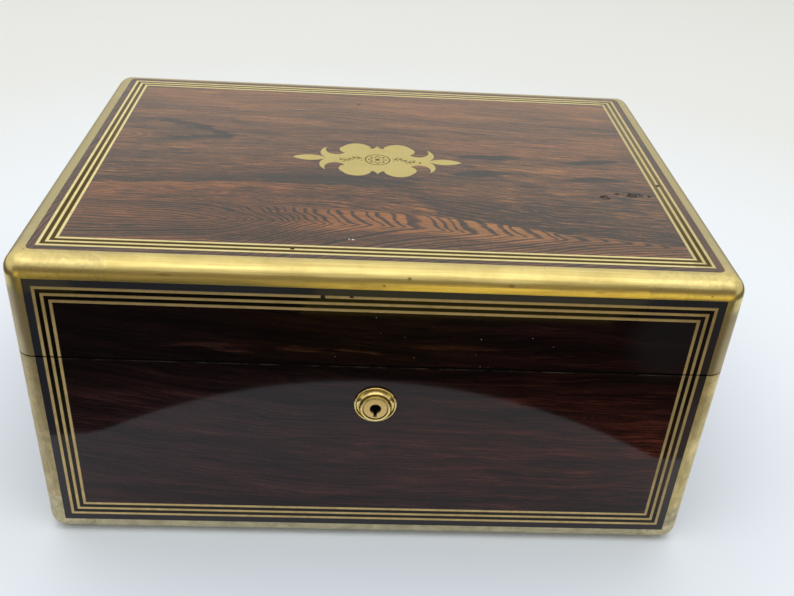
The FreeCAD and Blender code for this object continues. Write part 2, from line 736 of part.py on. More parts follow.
def base_nodes():
    """Boards, veneers, facings, brass, stringing and linings of the base."""
    seats = [seat for centre in hinge_centres() for seat in hinge_screw_seats(centre, True)]
    cuts = [hollow for centre in hinge_centres() for hollow in hinge_hollows(centre)]
    cuts += lock_hollow() + screw_holes(seats + top_plate_seats())
    strings = whole([strip.common(base_zone()) for strip in front_strings()])
    nodes = {"base_bottom_board": CORE.common(block(LEFT, RIGHT, FRONT, BACK, 0, FLOOR))}
    for side, space in wall_spaces(FLOOR, BASE_HEIGHT - RIM_FACING).items():
        nodes["base_" + side + "_board"] = CORE.common(space).cut(cuts)
    for side in SIDES:
        sheet = PANELS[side].common(base_zone()).cut(cuts)
        nodes["base_" + side + "_veneer"] = sheet.cut(strings) if side == "front" else sheet
    facings = rim_facings(BASE_HEIGHT - RIM_FACING, BASE_HEIGHT)
    nodes["base_rim_facings"] = whole([strip.cut(cuts) for strip in facings])
    corners, strips, uprights = base_binding()
    nodes["base_brass_corners"] = whole(corners)
    nodes["base_brass_strips"] = whole(strips)
    nodes["base_brass_uprights"] = whole(uprights)
    nodes["base_front_stringing"] = strings
    nodes["base_baize"] = PANELS["bottom"]
    top = BASE_HEIGHT - LINING_SET
    nodes["base_floor_pad"] = pad(FLOOR, FLOOR + FLOOR_PAD, FLOOR_PAD_ROUND, FLOOR + FLOOR_PAD)
    for side, board in wall_linings(FLOOR, top, top).items():
        nodes["base_" + side + "_lining"] = board
    return nodes


def lid_nodes():
    """Boards, veneers, facings, brass, stringing, cartouche and linings of the lid."""
    seats = [seat for centre in hinge_centres() for seat in hinge_screw_seats(centre, False)]
    cuts = [hollow for centre in hinge_centres() for hollow in hinge_hollows(centre)]
    cuts += [link_plate_blank()] + screw_holes(seats + link_seats())
    strings = whole([strip.common(lid_zone()) for strip in front_strings()])
    top_lines = whole(top_strings())
    inlay = cartouche()
    nodes = {"lid_top_board": CORE.common(block(LEFT, RIGHT, FRONT, BACK, CEILING, HEIGHT))}
    for side, space in wall_spaces(LID_RIM + RIM_FACING, CEILING).items():
        nodes["lid_" + side + "_board"] = CORE.common(space).cut(cuts)
    for side in SIDES:
        sheet = PANELS[side].common(lid_zone()).cut(cuts)
        nodes["lid_" + side + "_veneer"] = sheet.cut(strings) if side == "front" else sheet
    nodes["lid_top_veneer"] = PANELS["top"].cut([top_lines, inlay])
    facings = rim_facings(LID_RIM, LID_RIM + RIM_FACING)
    nodes["lid_rim_facings"] = whole([strip.cut(cuts) for strip in facings])
    corners, strips = lid_binding()
    nodes["lid_brass_corners"] = whole(corners)
    nodes["lid_brass_strips"] = whole(strips)
    nodes["lid_front_stringing"] = strings
    nodes["lid_top_stringing"] = top_lines
    nodes["lid_cartouche"] = inlay
    low = LID_RIM + LINING_SET
    nodes["lid_pad"] = pad(CEILING - LID_PAD, CEILING, LID_PAD_ROUND, CEILING - LID_PAD)
    for side, board in wall_linings(low, CEILING, low).items():
        nodes["lid_" + side + "_lining"] = board
    return nodes


os.makedirs("parts", exist_ok=True)
for sub_assembly in (base_nodes(), lid_nodes(), hinge_nodes(), lock_nodes()):
    for node, shape in sub_assembly.items():
        shape.exportStep("parts/" + node + ".step")
        print(node, len(shape.Solids), shape.isValid(), round(shape.Volume))
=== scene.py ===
"""Looks of a brass-bound rosewood box with a hinged lid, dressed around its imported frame."""

from __future__ import annotations

import logging
import math
from dataclasses import dataclass, field, replace
from enum import Enum
from typing import Any, Callable, Sequence, Union

import bpy
import numpy as np
from mathutils import Matrix, Vector


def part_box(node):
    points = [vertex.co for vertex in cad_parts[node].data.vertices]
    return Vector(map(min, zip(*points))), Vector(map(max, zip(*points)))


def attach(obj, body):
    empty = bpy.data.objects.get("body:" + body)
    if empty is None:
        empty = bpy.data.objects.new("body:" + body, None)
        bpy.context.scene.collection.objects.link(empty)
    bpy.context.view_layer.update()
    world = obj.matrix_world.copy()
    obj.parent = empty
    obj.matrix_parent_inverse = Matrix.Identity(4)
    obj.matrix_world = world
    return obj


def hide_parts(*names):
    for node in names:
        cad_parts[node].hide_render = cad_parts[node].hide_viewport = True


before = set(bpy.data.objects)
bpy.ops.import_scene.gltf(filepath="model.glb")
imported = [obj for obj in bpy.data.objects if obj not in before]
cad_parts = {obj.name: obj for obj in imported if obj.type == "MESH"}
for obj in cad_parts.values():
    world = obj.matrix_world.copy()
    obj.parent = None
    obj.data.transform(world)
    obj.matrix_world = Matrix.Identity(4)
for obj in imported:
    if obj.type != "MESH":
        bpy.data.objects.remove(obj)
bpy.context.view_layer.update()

MM = 0.001
# Below, lengths are in millimetres. A rectangle of strings is (half length, half width, middle).
JOINT_Z = 101.85
LOCK_Z = 81.6
STRING_WIDTH, STRING_PITCH, STRING_BAND = 1.35, 3.05, 7.45
TOP_STRINGS = (130.7, 89.2, 0)
FRONT_STRINGS = (130.7, 54.6, 73.95)
# How far from the middle the grain of flat veneers and the brushing of the edges turn.
VENEER_TURN, BRASS_TURN = 138.0, 141.0
log = logging.getLogger("box")

Colour = tuple[float, float, float]
Value = Union["Wire", float]


def rgba(colour: Colour) -> tuple[float, float, float, float]:
    """The colour with full alpha, as a socket takes it."""
    return (*colour, 1.0)


def adds(operation: str, swapped: bool = False) -> Callable[[Wire, Value], Wire]:
    """An operator that adds a Math node.

    Args:
        operation: what the node does.
        swapped: whether the other value comes first.

    Returns:
        The operator, for Wire to take as a method.
    """

    def apply(self: Wire, other: Value) -> Wire:
        """The node's result."""
        return self.board.math(operation, *((other, self) if swapped else (self, other)))

    return apply


class Wire:
    """One output of a material's nodes. Python's operators on it add Math nodes.

    & takes the smaller of two values, which cuts one mask by another, and | takes the
    larger, which joins them. The result of % is never negative.
    """

    def __init__(self, board: Board, socket: bpy.types.NodeSocket) -> None:
        """Keeps the node board and the socket that the value leaves from."""
        self.board = board
        self.socket = socket

    __add__, __radd__ = adds("ADD"), adds("ADD", swapped=True)
    __sub__, __rsub__ = adds("SUBTRACT"), adds("SUBTRACT", swapped=True)
    __mul__, __rmul__ = adds("MULTIPLY"), adds("MULTIPLY", swapped=True)
    __truediv__, __rtruediv__ = adds("DIVIDE"), adds("DIVIDE", swapped=True)
    __pow__, __mod__ = adds("POWER"), adds("FLOORED_MODULO")
    __and__, __or__ = adds("MINIMUM"), adds("MAXIMUM")

    def __abs__(self) -> Wire:
        """Size without sign."""
        return self.board.math("ABSOLUTE", self)


class Board:
    """The nodes of one material, with a method for each thing that a finish asks of them."""

    def __init__(self, name: str) -> None:
        """Makes an empty material.

        Args:
            name: the finish's name, which the material takes.
        """
        self.material = bpy.data.materials.new(name)
        self.material.use_nodes = True
        self.tree = self.material.node_tree
        self.tree.nodes.clear()

    def node(self, kind: str, settings: dict[str, Any], sockets: dict[Any, Any]) -> bpy.types.Node:
        """Adds any node.

        Args:
            kind: the node's type without its "ShaderNode".
            settings: its attributes, set first; "stops" fills a ramp.
            sockets: a number, colour or wire for each input, by name or place.

        Returns:
            The new node.
        """
        made = self.tree.nodes.new("ShaderNode" + kind)
        for key, value in settings.items():
            if key == "stops":
                self._stops(made.color_ramp, value)
            else:
                setattr(made, key, value)
        for key, value in sockets.items():
            if isinstance(value, Wire):
                self.tree.links.new(value.socket, made.inputs[key])
            else:
                made.inputs[key].default_value = value
        return made

    @staticmethod
    def _stops(ramp: bpy.types.ColorRamp, stops: Sequence[tuple[float, Colour]]) -> None:
        """Gives a ramp its places and colours.

        Args:
            ramp: the ramp, which starts with two stops.
            stops: a place from 0 to 1 and a colour for each.
        """
        while len(ramp.elements) < len(stops):
            ramp.elements.new(1.0)
        for element, (place, colour) in zip(ramp.elements, stops):
            element.position = place
            element.color = rgba(colour)

    def wire(self, kind: str, settings: dict[str, Any], sockets: dict[Any, Any], out: Any = 0) -> Wire:
        """Adds any node and gives one of its outputs, the first unless out names another."""
        return Wire(self, self.node(kind, settings, sockets).outputs[out])

    def math(self, operation: str, *values: Value) -> Wire:
        """A Math node on one, two or three values."""
        return self.wire("Math", {"operation": operation}, dict(enumerate(values)))

    def place(self) -> tuple[Wire, Wire, Wire]:
        """The surface point in the row frame, in millimetres, as three wires."""
        here = self.wire("TexCoord", {}, {}, "Object")
        return tuple(Wire(self, out) / MM for out in self.node("SeparateXYZ", {}, {0: here}).outputs)

    def point(self, x: Value, y: Value, z: Value = 0.0) -> Wire:
        """Three values as one vector."""
        return self.wire("CombineXYZ", {}, {0: x, 1: y, 2: z})

    def noise(self, point: Wire, detail: float = 2.0, rough: float = 0.5) -> Wire:
        """Smooth noise about 0.5 with features one unit of the point wide."""
        sockets = {"Vector": point, "Scale": 1.0, "Detail": detail, "Roughness": rough}
        return self.wire("TexNoise", {}, sockets, "Fac")

    def sheet(
        self, u: Value, v: Value, along: float, across: float, seed: float, detail: float = 2.0, rough: float = 0.5,
    ) -> Wire:
        """Noise over a sheet.

        Args:
            u: the place along the grain.
            v: the place across the grain.
            along: how long its features are.
            across: how wide its features are.
            seed: what parts one noise from another.
            detail: how many finer layers it has.
            rough: how strong these are.

        Returns:
            The noise, about 0.5.
        """
        return self.noise(self.point(u / along, v / across, seed), detail, rough)

    def cloud(
        self, place: Sequence[Wire], size: float | tuple[float, ...], detail: float = 2.0, rough: float = 0.5,
        seed: float = 0.0,
    ) -> Wire:
        """Noise in space.

        Args:
            place: the surface point as three wires.
            size: how big its features are, one number or one for each axis.
            detail: how many finer layers it has.
            rough: how strong these are.
            seed: what parts one noise from another.

        Returns:
            The noise, about 0.5.
        """
        sizes = size if isinstance(size, tuple) else (size,) * 3
        x, y, z = (p / s for p, s in zip(place, sizes))
        return self.noise(self.point(x, y, z + seed if seed else z), detail, rough)

    def lines(self, value: Wire, detail: float = 2.0, rough: float = 0.5) -> Wire:
        """Noise about 0.5 that changes along one value alone, as growth rings do."""
        sockets = {"W": value, "Scale": 1.0, "Detail": detail, "Roughness": rough}
        return self.wire("TexNoise", {"noise_dimensions": "1D"}, sockets, "Fac")

    def specks(self, point: Wire, radius: float) -> Wire:
        """Round specks, one to a cell of the point's unit, as a mask."""
        far = self.wire("TexVoronoi", {}, {"Vector": point, "Scale": 1.0}, "Distance")
        return self.rise(far, radius, radius * 0.7)

    def rise(self, value: Value, low: float, high: float) -> Wire:
        """0 below low, 1 above high, with a smooth rise between; low may be the larger."""
        sockets = {"Value": value, "From Min": low, "From Max": high}
        return self.wire("MapRange", {"interpolation_type": "SMOOTHSTEP"}, sockets)

    def slide(self, value: Value, low: float, high: float, ends: tuple[float, float] = (0.0, 1.0)) -> Wire:
        """The first of the ends below low and the second above high, in a straight line between."""
        sockets = {"Value": value, "From Min": low, "From Max": high, "To Min": ends[0], "To Max": ends[1]}
        return self.wire("MapRange", {}, sockets)

    def ramp(self, value: Value, stops: Sequence[tuple[float, Colour]]) -> Wire:
        """A colour looked up along a ramp."""
        return self.wire("ValToRGB", {"stops": stops}, {0: value})

    def curve(self, along: Wire, line: Sequence[tuple[float, float]]) -> Wire:
        """The height of a line over a value, in millimetres.

        Args:
            along: where on the line.
            line: (along, height) points in order, each between -200 and 200.

        Returns:
            The height, rounded off between the points.
        """
        stops = [(0.5 + a / 400.0, (0.5 + h / 400.0,) * 3) for a, h in line]
        grey = self.node("ValToRGB", {"stops": stops}, {0: along / 400.0 + 0.5})
        grey.color_ramp.interpolation = "B_SPLINE"
        return Wire(self, grey.outputs[0]) * 400.0 - 200.0

    def blend(self, factor: Value, a: Wire | Colour, b: Wire | Colour, how: str = "MIX") -> Wire:
        """Mixes colour b over colour a by the factor."""
        a, b = (c if isinstance(c, Wire) else rgba(c) for c in (a, b))
        return self.wire("Mix", {"data_type": "RGBA", "blend_type": how}, {0: factor, 6: a, 7: b}, 2)

    def turned(self, x: Wire, y: Wire, beyond: float) -> tuple[Wire, Wire]:
        """The two values, changed over where the first lies further than beyond from the middle."""
        side = self.rise(abs(x), beyond, beyond + 0.6)
        return x * (1.0 - side) + y * side, y * (1.0 - side) + x * side

    def bump(self, height: Wire, depth: float, under: Wire | None = None) -> Wire:
        """Turns a height of 0 to 1 into a normal, for relief of a depth over another normal."""
        over = {} if under is None else {"Normal": under}
        return self.wire("Bump", {}, {"Height": height, "Strength": 1.0, "Distance": depth * MM, **over})

    def surface(self, **sockets: Any) -> bpy.types.Material:
        """Ends the material in one Principled surface.

        Args:
            sockets: its inputs, with underscores for spaces.

        Returns:
            The finished material.
        """
        named = {key.replace("_", " "): value for key, value in sockets.items()}
        self.node("OutputMaterial", {}, {"Surface": self.wire("BsdfPrincipled", {}, named)})
        return self.material


@dataclass(frozen=True)
class Finish:
    """A finish that pieces take; each kind paints its own nodes."""

    name: str

    def paint(self, board: Board) -> bpy.types.Material:
        """Fills the board and returns the finished material."""
        raise NotImplementedError

    def make(self) -> bpy.types.Material:
        """The finish's material, made once and then reused.

        Returns:
            The material.
        """
        found = bpy.data.materials.get(self.name)
        if found is None or found.get("finish") != self.name:
            found = self.paint(Board(self.name))
            found["finish"] = self.name
        return found


@dataclass(frozen=True)
class Mark:
    """A long soft patch in the figure, or a small wound in the surface."""

    along: float
    across: float
    half_length: float
    half_width: float
    tone: float
    slope: float = 0.0

    def mask(self, board: Board, u: Wire, v: Wire, soft: float) -> Wire:
        """1 inside the patch's ellipse and 0 outside, with a soft rim.

        Args:
            board: the material's nodes.
            u: the place along the grain.
            v: the place across the grain.
            soft: how far in the rim starts, from 0 for soft all through to 1 for hard.

        Returns:
            The mask's wire.
        """
        du = u - self.along
        dv = (v - self.across - du * self.slope) / self.half_width
        return board.rise((du / self.half_length) ** 2.0 + dv ** 2.0, 1.0, soft)


@dataclass(frozen=True)
class Shore:
    """A line through the figure where the tone jumps, each side fading out away from it."""

    line: tuple[tuple[float, float], ...]
    over: float
    over_reach: tuple[float, float]
    under: float
    under_reach: float
    soft: tuple[float, float, float]
    half_length: float = 140.0

    def tone(self, board: Board, u: Wire, v: Wire) -> Wire:
        """The tone that it adds.

        Args:
            board: the material's nodes.
            u: the place along the grain.
            v: the place across the grain.

        Returns:
            The tone's wire: over above the line, under below it.
        """
        gap = v - board.curve(u, self.line)
        at, half, spread = self.soft
        loose = board.rise(abs(u - at), half, half * 0.3) * spread + 1.0
        reach = board.slide(u, -self.half_length, self.half_length, self.over_reach)
        step = board.rise(gap / loose, -0.5, 0.5)
        above = step * board.rise(gap / reach, 1.0, 0.0) * self.over
        below = (1.0 - step) * board.rise(gap, -self.under_reach, 0.0) * self.under
        return above + below - board.rise(abs(gap), 0.8, 0.2) * (0.12 / loose)


@dataclass(frozen=True)
class Wash:
    """A wide soft patch of tint over the wood's colour; most are painted reflection and painted shade in the polish.
    """

    patch: Mark
    tint: Colour
    how: str = "MULTIPLY"

    def over(self, board: Board, u: Wire, v: Wire, colour: Wire) -> Wire:
        """The colour with the wash over it."""
        return board.blend(self.patch.mask(board, u, v, 0.0) * self.patch.tone, colour, self.tint, self.how)


class Lie(Enum):
    """How a sheet lies: which axes run along and across its grain.

    The grain of a flat veneer turns on the strips at its two ends.
    """

    FLAT = (0, 1)
    FRONT = (0, 2)
    SIDE = (1, 2)


TOP_STOPS = (
    (0, (0.012, 0.009, 0.008)), (0.22, (0.040, 0.020, 0.013)), (0.48, (0.112, 0.047, 0.021)),
    (0.74, (0.235, 0.096, 0.034)), (1, (0.430, 0.185, 0.055)),
)
# Much darker than the top's ramp: a darker rosewood, with painted shade for the upright faces that turn from the
# light.
FRONT_STOPS = (
    (0, (0.0040, 0.0025, 0.0024)), (0.3, (0.0130, 0.0052, 0.0052)), (0.55, (0.0330, 0.0110, 0.0108)),
    (0.8, (0.0680, 0.0230, 0.0200)), (1, (0.1400, 0.0520, 0.0340)),
)
RIM_STOPS = (
    (0, (0.010, 0.008, 0.007)), (0.25, (0.038, 0.018, 0.011)), (0.5, (0.110, 0.043, 0.018)),
    (0.75, (0.220, 0.085, 0.030)), (1, (0.400, 0.160, 0.050)),
)


@dataclass(frozen=True)
class Rosewood(Finish):
    """French polished rosewood: growth rings cut by the sheet, streaks, pores and smoke."""

    lie: Lie
    seed: float
    stops: tuple[tuple[float, Colour], ...] = FRONT_STOPS
    tone: float = 0.50
    zone: float = 0.70
    streak: float = 1.0
    grain: float = 0.85
    late: float = 0.30
    ring: float = 0.60
    drift: float = 12.0
    wave: float = 2.6
    heart: float = 300.0
    slope: float = 0.0
    bend: float = 0.0
    crown_from: float = -70.0
    crown_to: float = 80.0
    crown_top: tuple[tuple[float, float], ...] = ()
    crown_dive: tuple[tuple[float, float], ...] = ()
    combed: float = 0.0
    lean_from: float = -1e4
    crisp: tuple[float, float] = (1.0, 1.0)
    ends: tuple[float, float] = (1.0, 1.0)
    shores: tuple[Shore, ...] = ()
    eyes: tuple[Mark, ...] = ()
    marks: tuple[Mark, ...] = ()
    # Tints over the colour; most are painted reflection and painted shade.
    tints_and_painted_light: tuple[Wash, ...] = ()
    wounds: tuple[Mark, ...] = ()
    chips: tuple[Mark, ...] = ()
    dust: float = 0.0
    tint: Colour = (0.74, 0.80, 0.76)
    strings: tuple[float, float, float] = (1e4, 1e4, 0.0)
    mastic: Colour = (0.008, 0.007, 0.004)
    sealed: float = 0.75
    border: float = 0.0
    coat: float = 1.5
    under_coat: float = 0.04
    # Painted shade: (low, high, factor) darkens the colour by the factor from low to high across the grain.
    shade: tuple[float, float, float] = (0.0, 0.0, 1.0)
    seam: float = 0.0

    def _sheet(self, board: Board) -> tuple[Wire, Wire]:
        """The place along and across the grain.

        Args:
            board: the material's nodes.

        Returns:
            The two wires, u and v.
        """
        place = board.place()
        u, v = (place[axis] for axis in self.lie.value)
        return board.turned(u, v, VENEER_TURN) if self.lie is Lie.FLAT else (u, v)

    def _figure(self, board: Board, u: Wire, v: Wire) -> tuple[Wire, Wire]:
        """The tone before colour, and the pores.

        Rings are the distance to a wandering heart line, which makes straight lines across
        the sheet. Where the heart dives under the sheet, the distance is sqrt(off^2 + dive^2),
        and the thin lines follow dive + k |off|, which closes them into nested arches.

        Args:
            board: the material's nodes.
            u: the place along the grain.
            v: the place across the grain.

        Returns:
            The tone, about 0 to 1, and a mask of the open pores.
        """
        rise, sheet, seed = board.rise, board.sheet, self.seed
        low = sheet(u, v, 70, 26, seed) - 0.5
        mid = sheet(u, v, 17, 6.5, seed + 9) - 0.5
        fine = sheet(u, v, 4.2, 2.2, seed + 3) - 0.5
        across = v + low * self.drift + mid * self.wave + fine * 0.8
        off = across - self.heart - (u | self.lean_from) * self.slope - ((u - 20) & 0) ** 2 * self.bend
        zones = sheet(u, off, 95, 7, seed + 20) - 0.5
        streaks = sheet(u, off, 26, 1.9, seed + 30, 3, 0.62) - 0.5
        grain = sheet(u, off, 13, 0.55, seed + 50, 3, 0.7) - 0.5
        grain = grain * board.slide(v, 70, -70, self.crisp)
        ring: Wire = abs(off)
        calm: Value = 1.0
        if self.crown_top:
            along = u + low * 16 + mid * 5
            sunk = board.slide(along, self.crown_from, self.crown_to)
            ring = board.math("SQRT", ((off | 0) * 0.55 + (off & 0) * 1.5) ** 2 + (sunk * 15) ** 2)
            even = off - mid * (self.wave - 0.8) - fine * 0.7
            arch = board.curve(along, self.crown_dive) + (even | 0) * ((0.38 - sunk * 0.6) | 0.05)
            arch = arch - (even & 0) * 0.32
            under = rise(v - board.curve(u, self.crown_top) + fine * 1.2, 0.5, -0.5)
            calm = 1.0 - under * 0.55
        tone = zones * self.zone + (streaks * self.streak + grain * self.grain) * calm
        tone = tone * board.slide(u, -120, 120, self.ends) + self.tone
        for mark in self.marks:
            tone = tone + mark.mask(board, u + mid * 30, across + streaks * 7, 0.0) * mark.tone
        for shore in self.shores:
            tone = tone + shore.tone(board, u, v + mid * 3 + fine * 1.5)
        late = rise(board.lines(ring / self.ring + seed, 2.0, 0.65), 0.46, 0.62)
        strength = rise(sheet(u, v, 50, 16, seed + 70), 0.30, 0.62) * self.late
        if self.crown_top:
            crown = under * rise(off, -9, -4) * rise(u + mid * 24, self.crown_from + 24, self.crown_from + 54)
            crown = crown * rise(u + mid * 12, self.crown_to + 2, self.crown_to - 20)
            tone = tone * (1.0 - crown * 0.45) + crown * 0.48 + under * (self.combed * 0.1)
            vary = rise(sheet(u, v, 11, 8, seed + 80), 0.25, 0.6) * 0.18 - 0.04
            strength = strength * (1.0 - under) + (crown * vary + self.combed) * under
            turn = (arch / 0.74 + board.lines(arch / 1.7 + seed, 1.0) * 1.4 + fine * 0.15 + mid * 0.3) % 1
            late = late * (1.0 - under) + rise(abs(turn - 0.5), 0.27, 0.06) * under
        tone = tone - late * strength
        for eye in self.eyes:
            s = (u - eye.along + mid * 6) / eye.half_length
            t = (v - eye.across + mid * 3) / eye.half_width
            far = board.math("SQRT", s ** 2 + t ** 2)
            inside = rise(far, 1.0, 0.6)
            edge = rise(abs((far * 3.2 + mid * 0.5) % 1 - 0.5), 0.14, 0.36)
            tone = tone * (1.0 - inside * 0.55) + inside * (eye.tone - 0.1 - edge * 0.18)
        pores = rise(sheet(u, across, 2.6, 0.26, seed + 5, 1), 0.55, 0.70)
        return tone - pores * 0.22, pores

    def _worn(self, board: Board, u: Wire, v: Wire, colour: Wire) -> Wire:
        """The joint of the lid: a dark line, and pale patches along the edge below it, worn polish that also paints
        the edge's highlight.

        Args:
            board: the material's nodes.
            u: the place along the grain.
            v: the place across the grain.
            colour: the wood's colour.

        Returns:
            The colour with the joint in it.
        """
        away = v - self.seam
        # Worn polish and painted highlight: pale patches on the edge just below the joint.
        worn_and_lit = board.rise(board.sheet(u, 0.0, 14, 1, 5, 4, 0.65), 0.42, 0.70)
        worn_and_lit = worn_and_lit * board.rise(abs(away + 0.75), 0.45, 0.15)
        colour = board.blend(worn_and_lit * 0.55, colour, (0.070, 0.052, 0.038))
        return board.blend(board.rise(abs(away), 0.62, 0.38), colour, (0.0015, 0.0012, 0.0010))

    def _hurt(self, board: Board, u: Wire, v: Wire) -> Wire:
        """A mask of the small wounds, crumbled into specks by noise.

        Args:
            board: the material's nodes.
            u: the place along the grain.
            v: the place across the grain.

        Returns:
            The mask's wire.
        """
        hurt: Value = 0.0
        crumbs = board.sheet(u, v, 1.2, 1.5, 7, 3, 0.7) - 0.5
        for wound in self.wounds:
            reach = wound.mask(board, u, v, 0.2)
            one = board.rise(reach * 0.80 + crumbs * 4.5, 0.58, 0.80) * board.rise(reach, 0.04, 0.3)
            hurt = (one * wound.tone) | hurt
        return hurt

    def _dusted(self, board: Board, u: Wire, v: Wire, colour: Wire) -> Wire:
        """The colour with pale specks of dust on the upper part of the sheet.

        Args:
            board: the material's nodes.
            u: the place along the grain.
            v: the place across the grain.
            colour: the wood's colour.

        Returns:
            The colour under the dust.
        """
        few = board.rise(board.sheet(u, v, 24, 14, 3), 0.44, 0.56) * board.rise(v, 98, 108)
        few = few * board.rise(abs(u - 32), 70, 30)
        specks = board.specks(board.point(u / 4.6, v / 4.6, self.seed), 0.048)
        return board.blend(specks * few * self.dust, colour, (0.40, 0.38, 0.35))

    def paint(self, board: Board) -> bpy.types.Material:
        """Turns the figure into colour under a clear coat, with wounds, dust and dark gaps.

        Args:
            board: the material's nodes.

        Returns:
            The finished material.
        """
        rise, blend = board.rise, board.blend
        u, v = self._sheet(board)
        tone, pores = self._figure(board, u, v)
        smoke = rise(board.sheet(u, v, 55, 11, self.seed + 40), 0.35, 0.7)
        colour = blend(smoke * 0.7, board.ramp(tone, self.stops), self.tint, "MULTIPLY")
        far_u, far_v, middle = self.strings

        def past(grown: float, rim: float = 0.3) -> Wire:
            """1 outside the rectangle of strings grown by a length, with a rim inside it."""
            up, side = (grown - rim, grown), abs(v - middle)
            return rise(abs(u), far_u + up[0], far_u + up[1]) | rise(side, far_v + up[0], far_v + up[1])

        strung, outer = past(0.3), past(STRING_BAND)
        gap = strung * (1.0 - outer)
        filled: Value = 0.90
        if self.lie is Lie.FLAT:
            filled = 0.94 - rise(v, -60, 96) * 0.58
        colour = blend(gap * 0.92, colour, self.mastic)
        # Painted shade: the upper part of the sheet is darkened, as if less lit.
        if self.shade[2] != 1.0:
            colour = blend(rise(v, *self.shade[:2]), colour, (self.shade[2],) * 3, "MULTIPLY")
        if self.border:
            colour = blend(outer * self.border, colour, (0.021, 0.022, 0.025))
        # Tints over the colour; on the front and at the top's right end they are painted reflection and painted shade.
        for wash in self.tints_and_painted_light:
            colour = wash.over(board, u, v, colour)
        if self.seam:
            colour = self._worn(board, u, v, colour)
        if self.dust:
            colour = self._dusted(board, u, v, colour)
        swell = board.sheet(u, v, 24, 15, self.seed + 60, 1)
        normal = board.bump(1.0 - pores, 0.006, board.bump(swell, 0.035))
        rough: Value = 0.5
        clear = 1.0 - gap * filled * self.sealed
        for chip in self.chips:
            colour = blend(chip.mask(board, u, v, 0.5), colour, (0.55, 0.50, 0.42))
        if self.wounds:
            hurt = self._hurt(board, u, v)
            colour = blend(hurt, colour, (0.010, 0.009, 0.010))
            normal = board.bump(1.0 - hurt, 0.25, normal)
            rough, clear = hurt * 0.3 + 0.5, clear * (1.0 - hurt * 0.8)
        return board.surface(
            Base_Color=colour, Normal=normal, Roughness=rough, Specular_IOR_Level=self.under_coat,
            Coat_Weight=clear, Coat_Roughness=0.06, Coat_IOR=self.coat,
        )


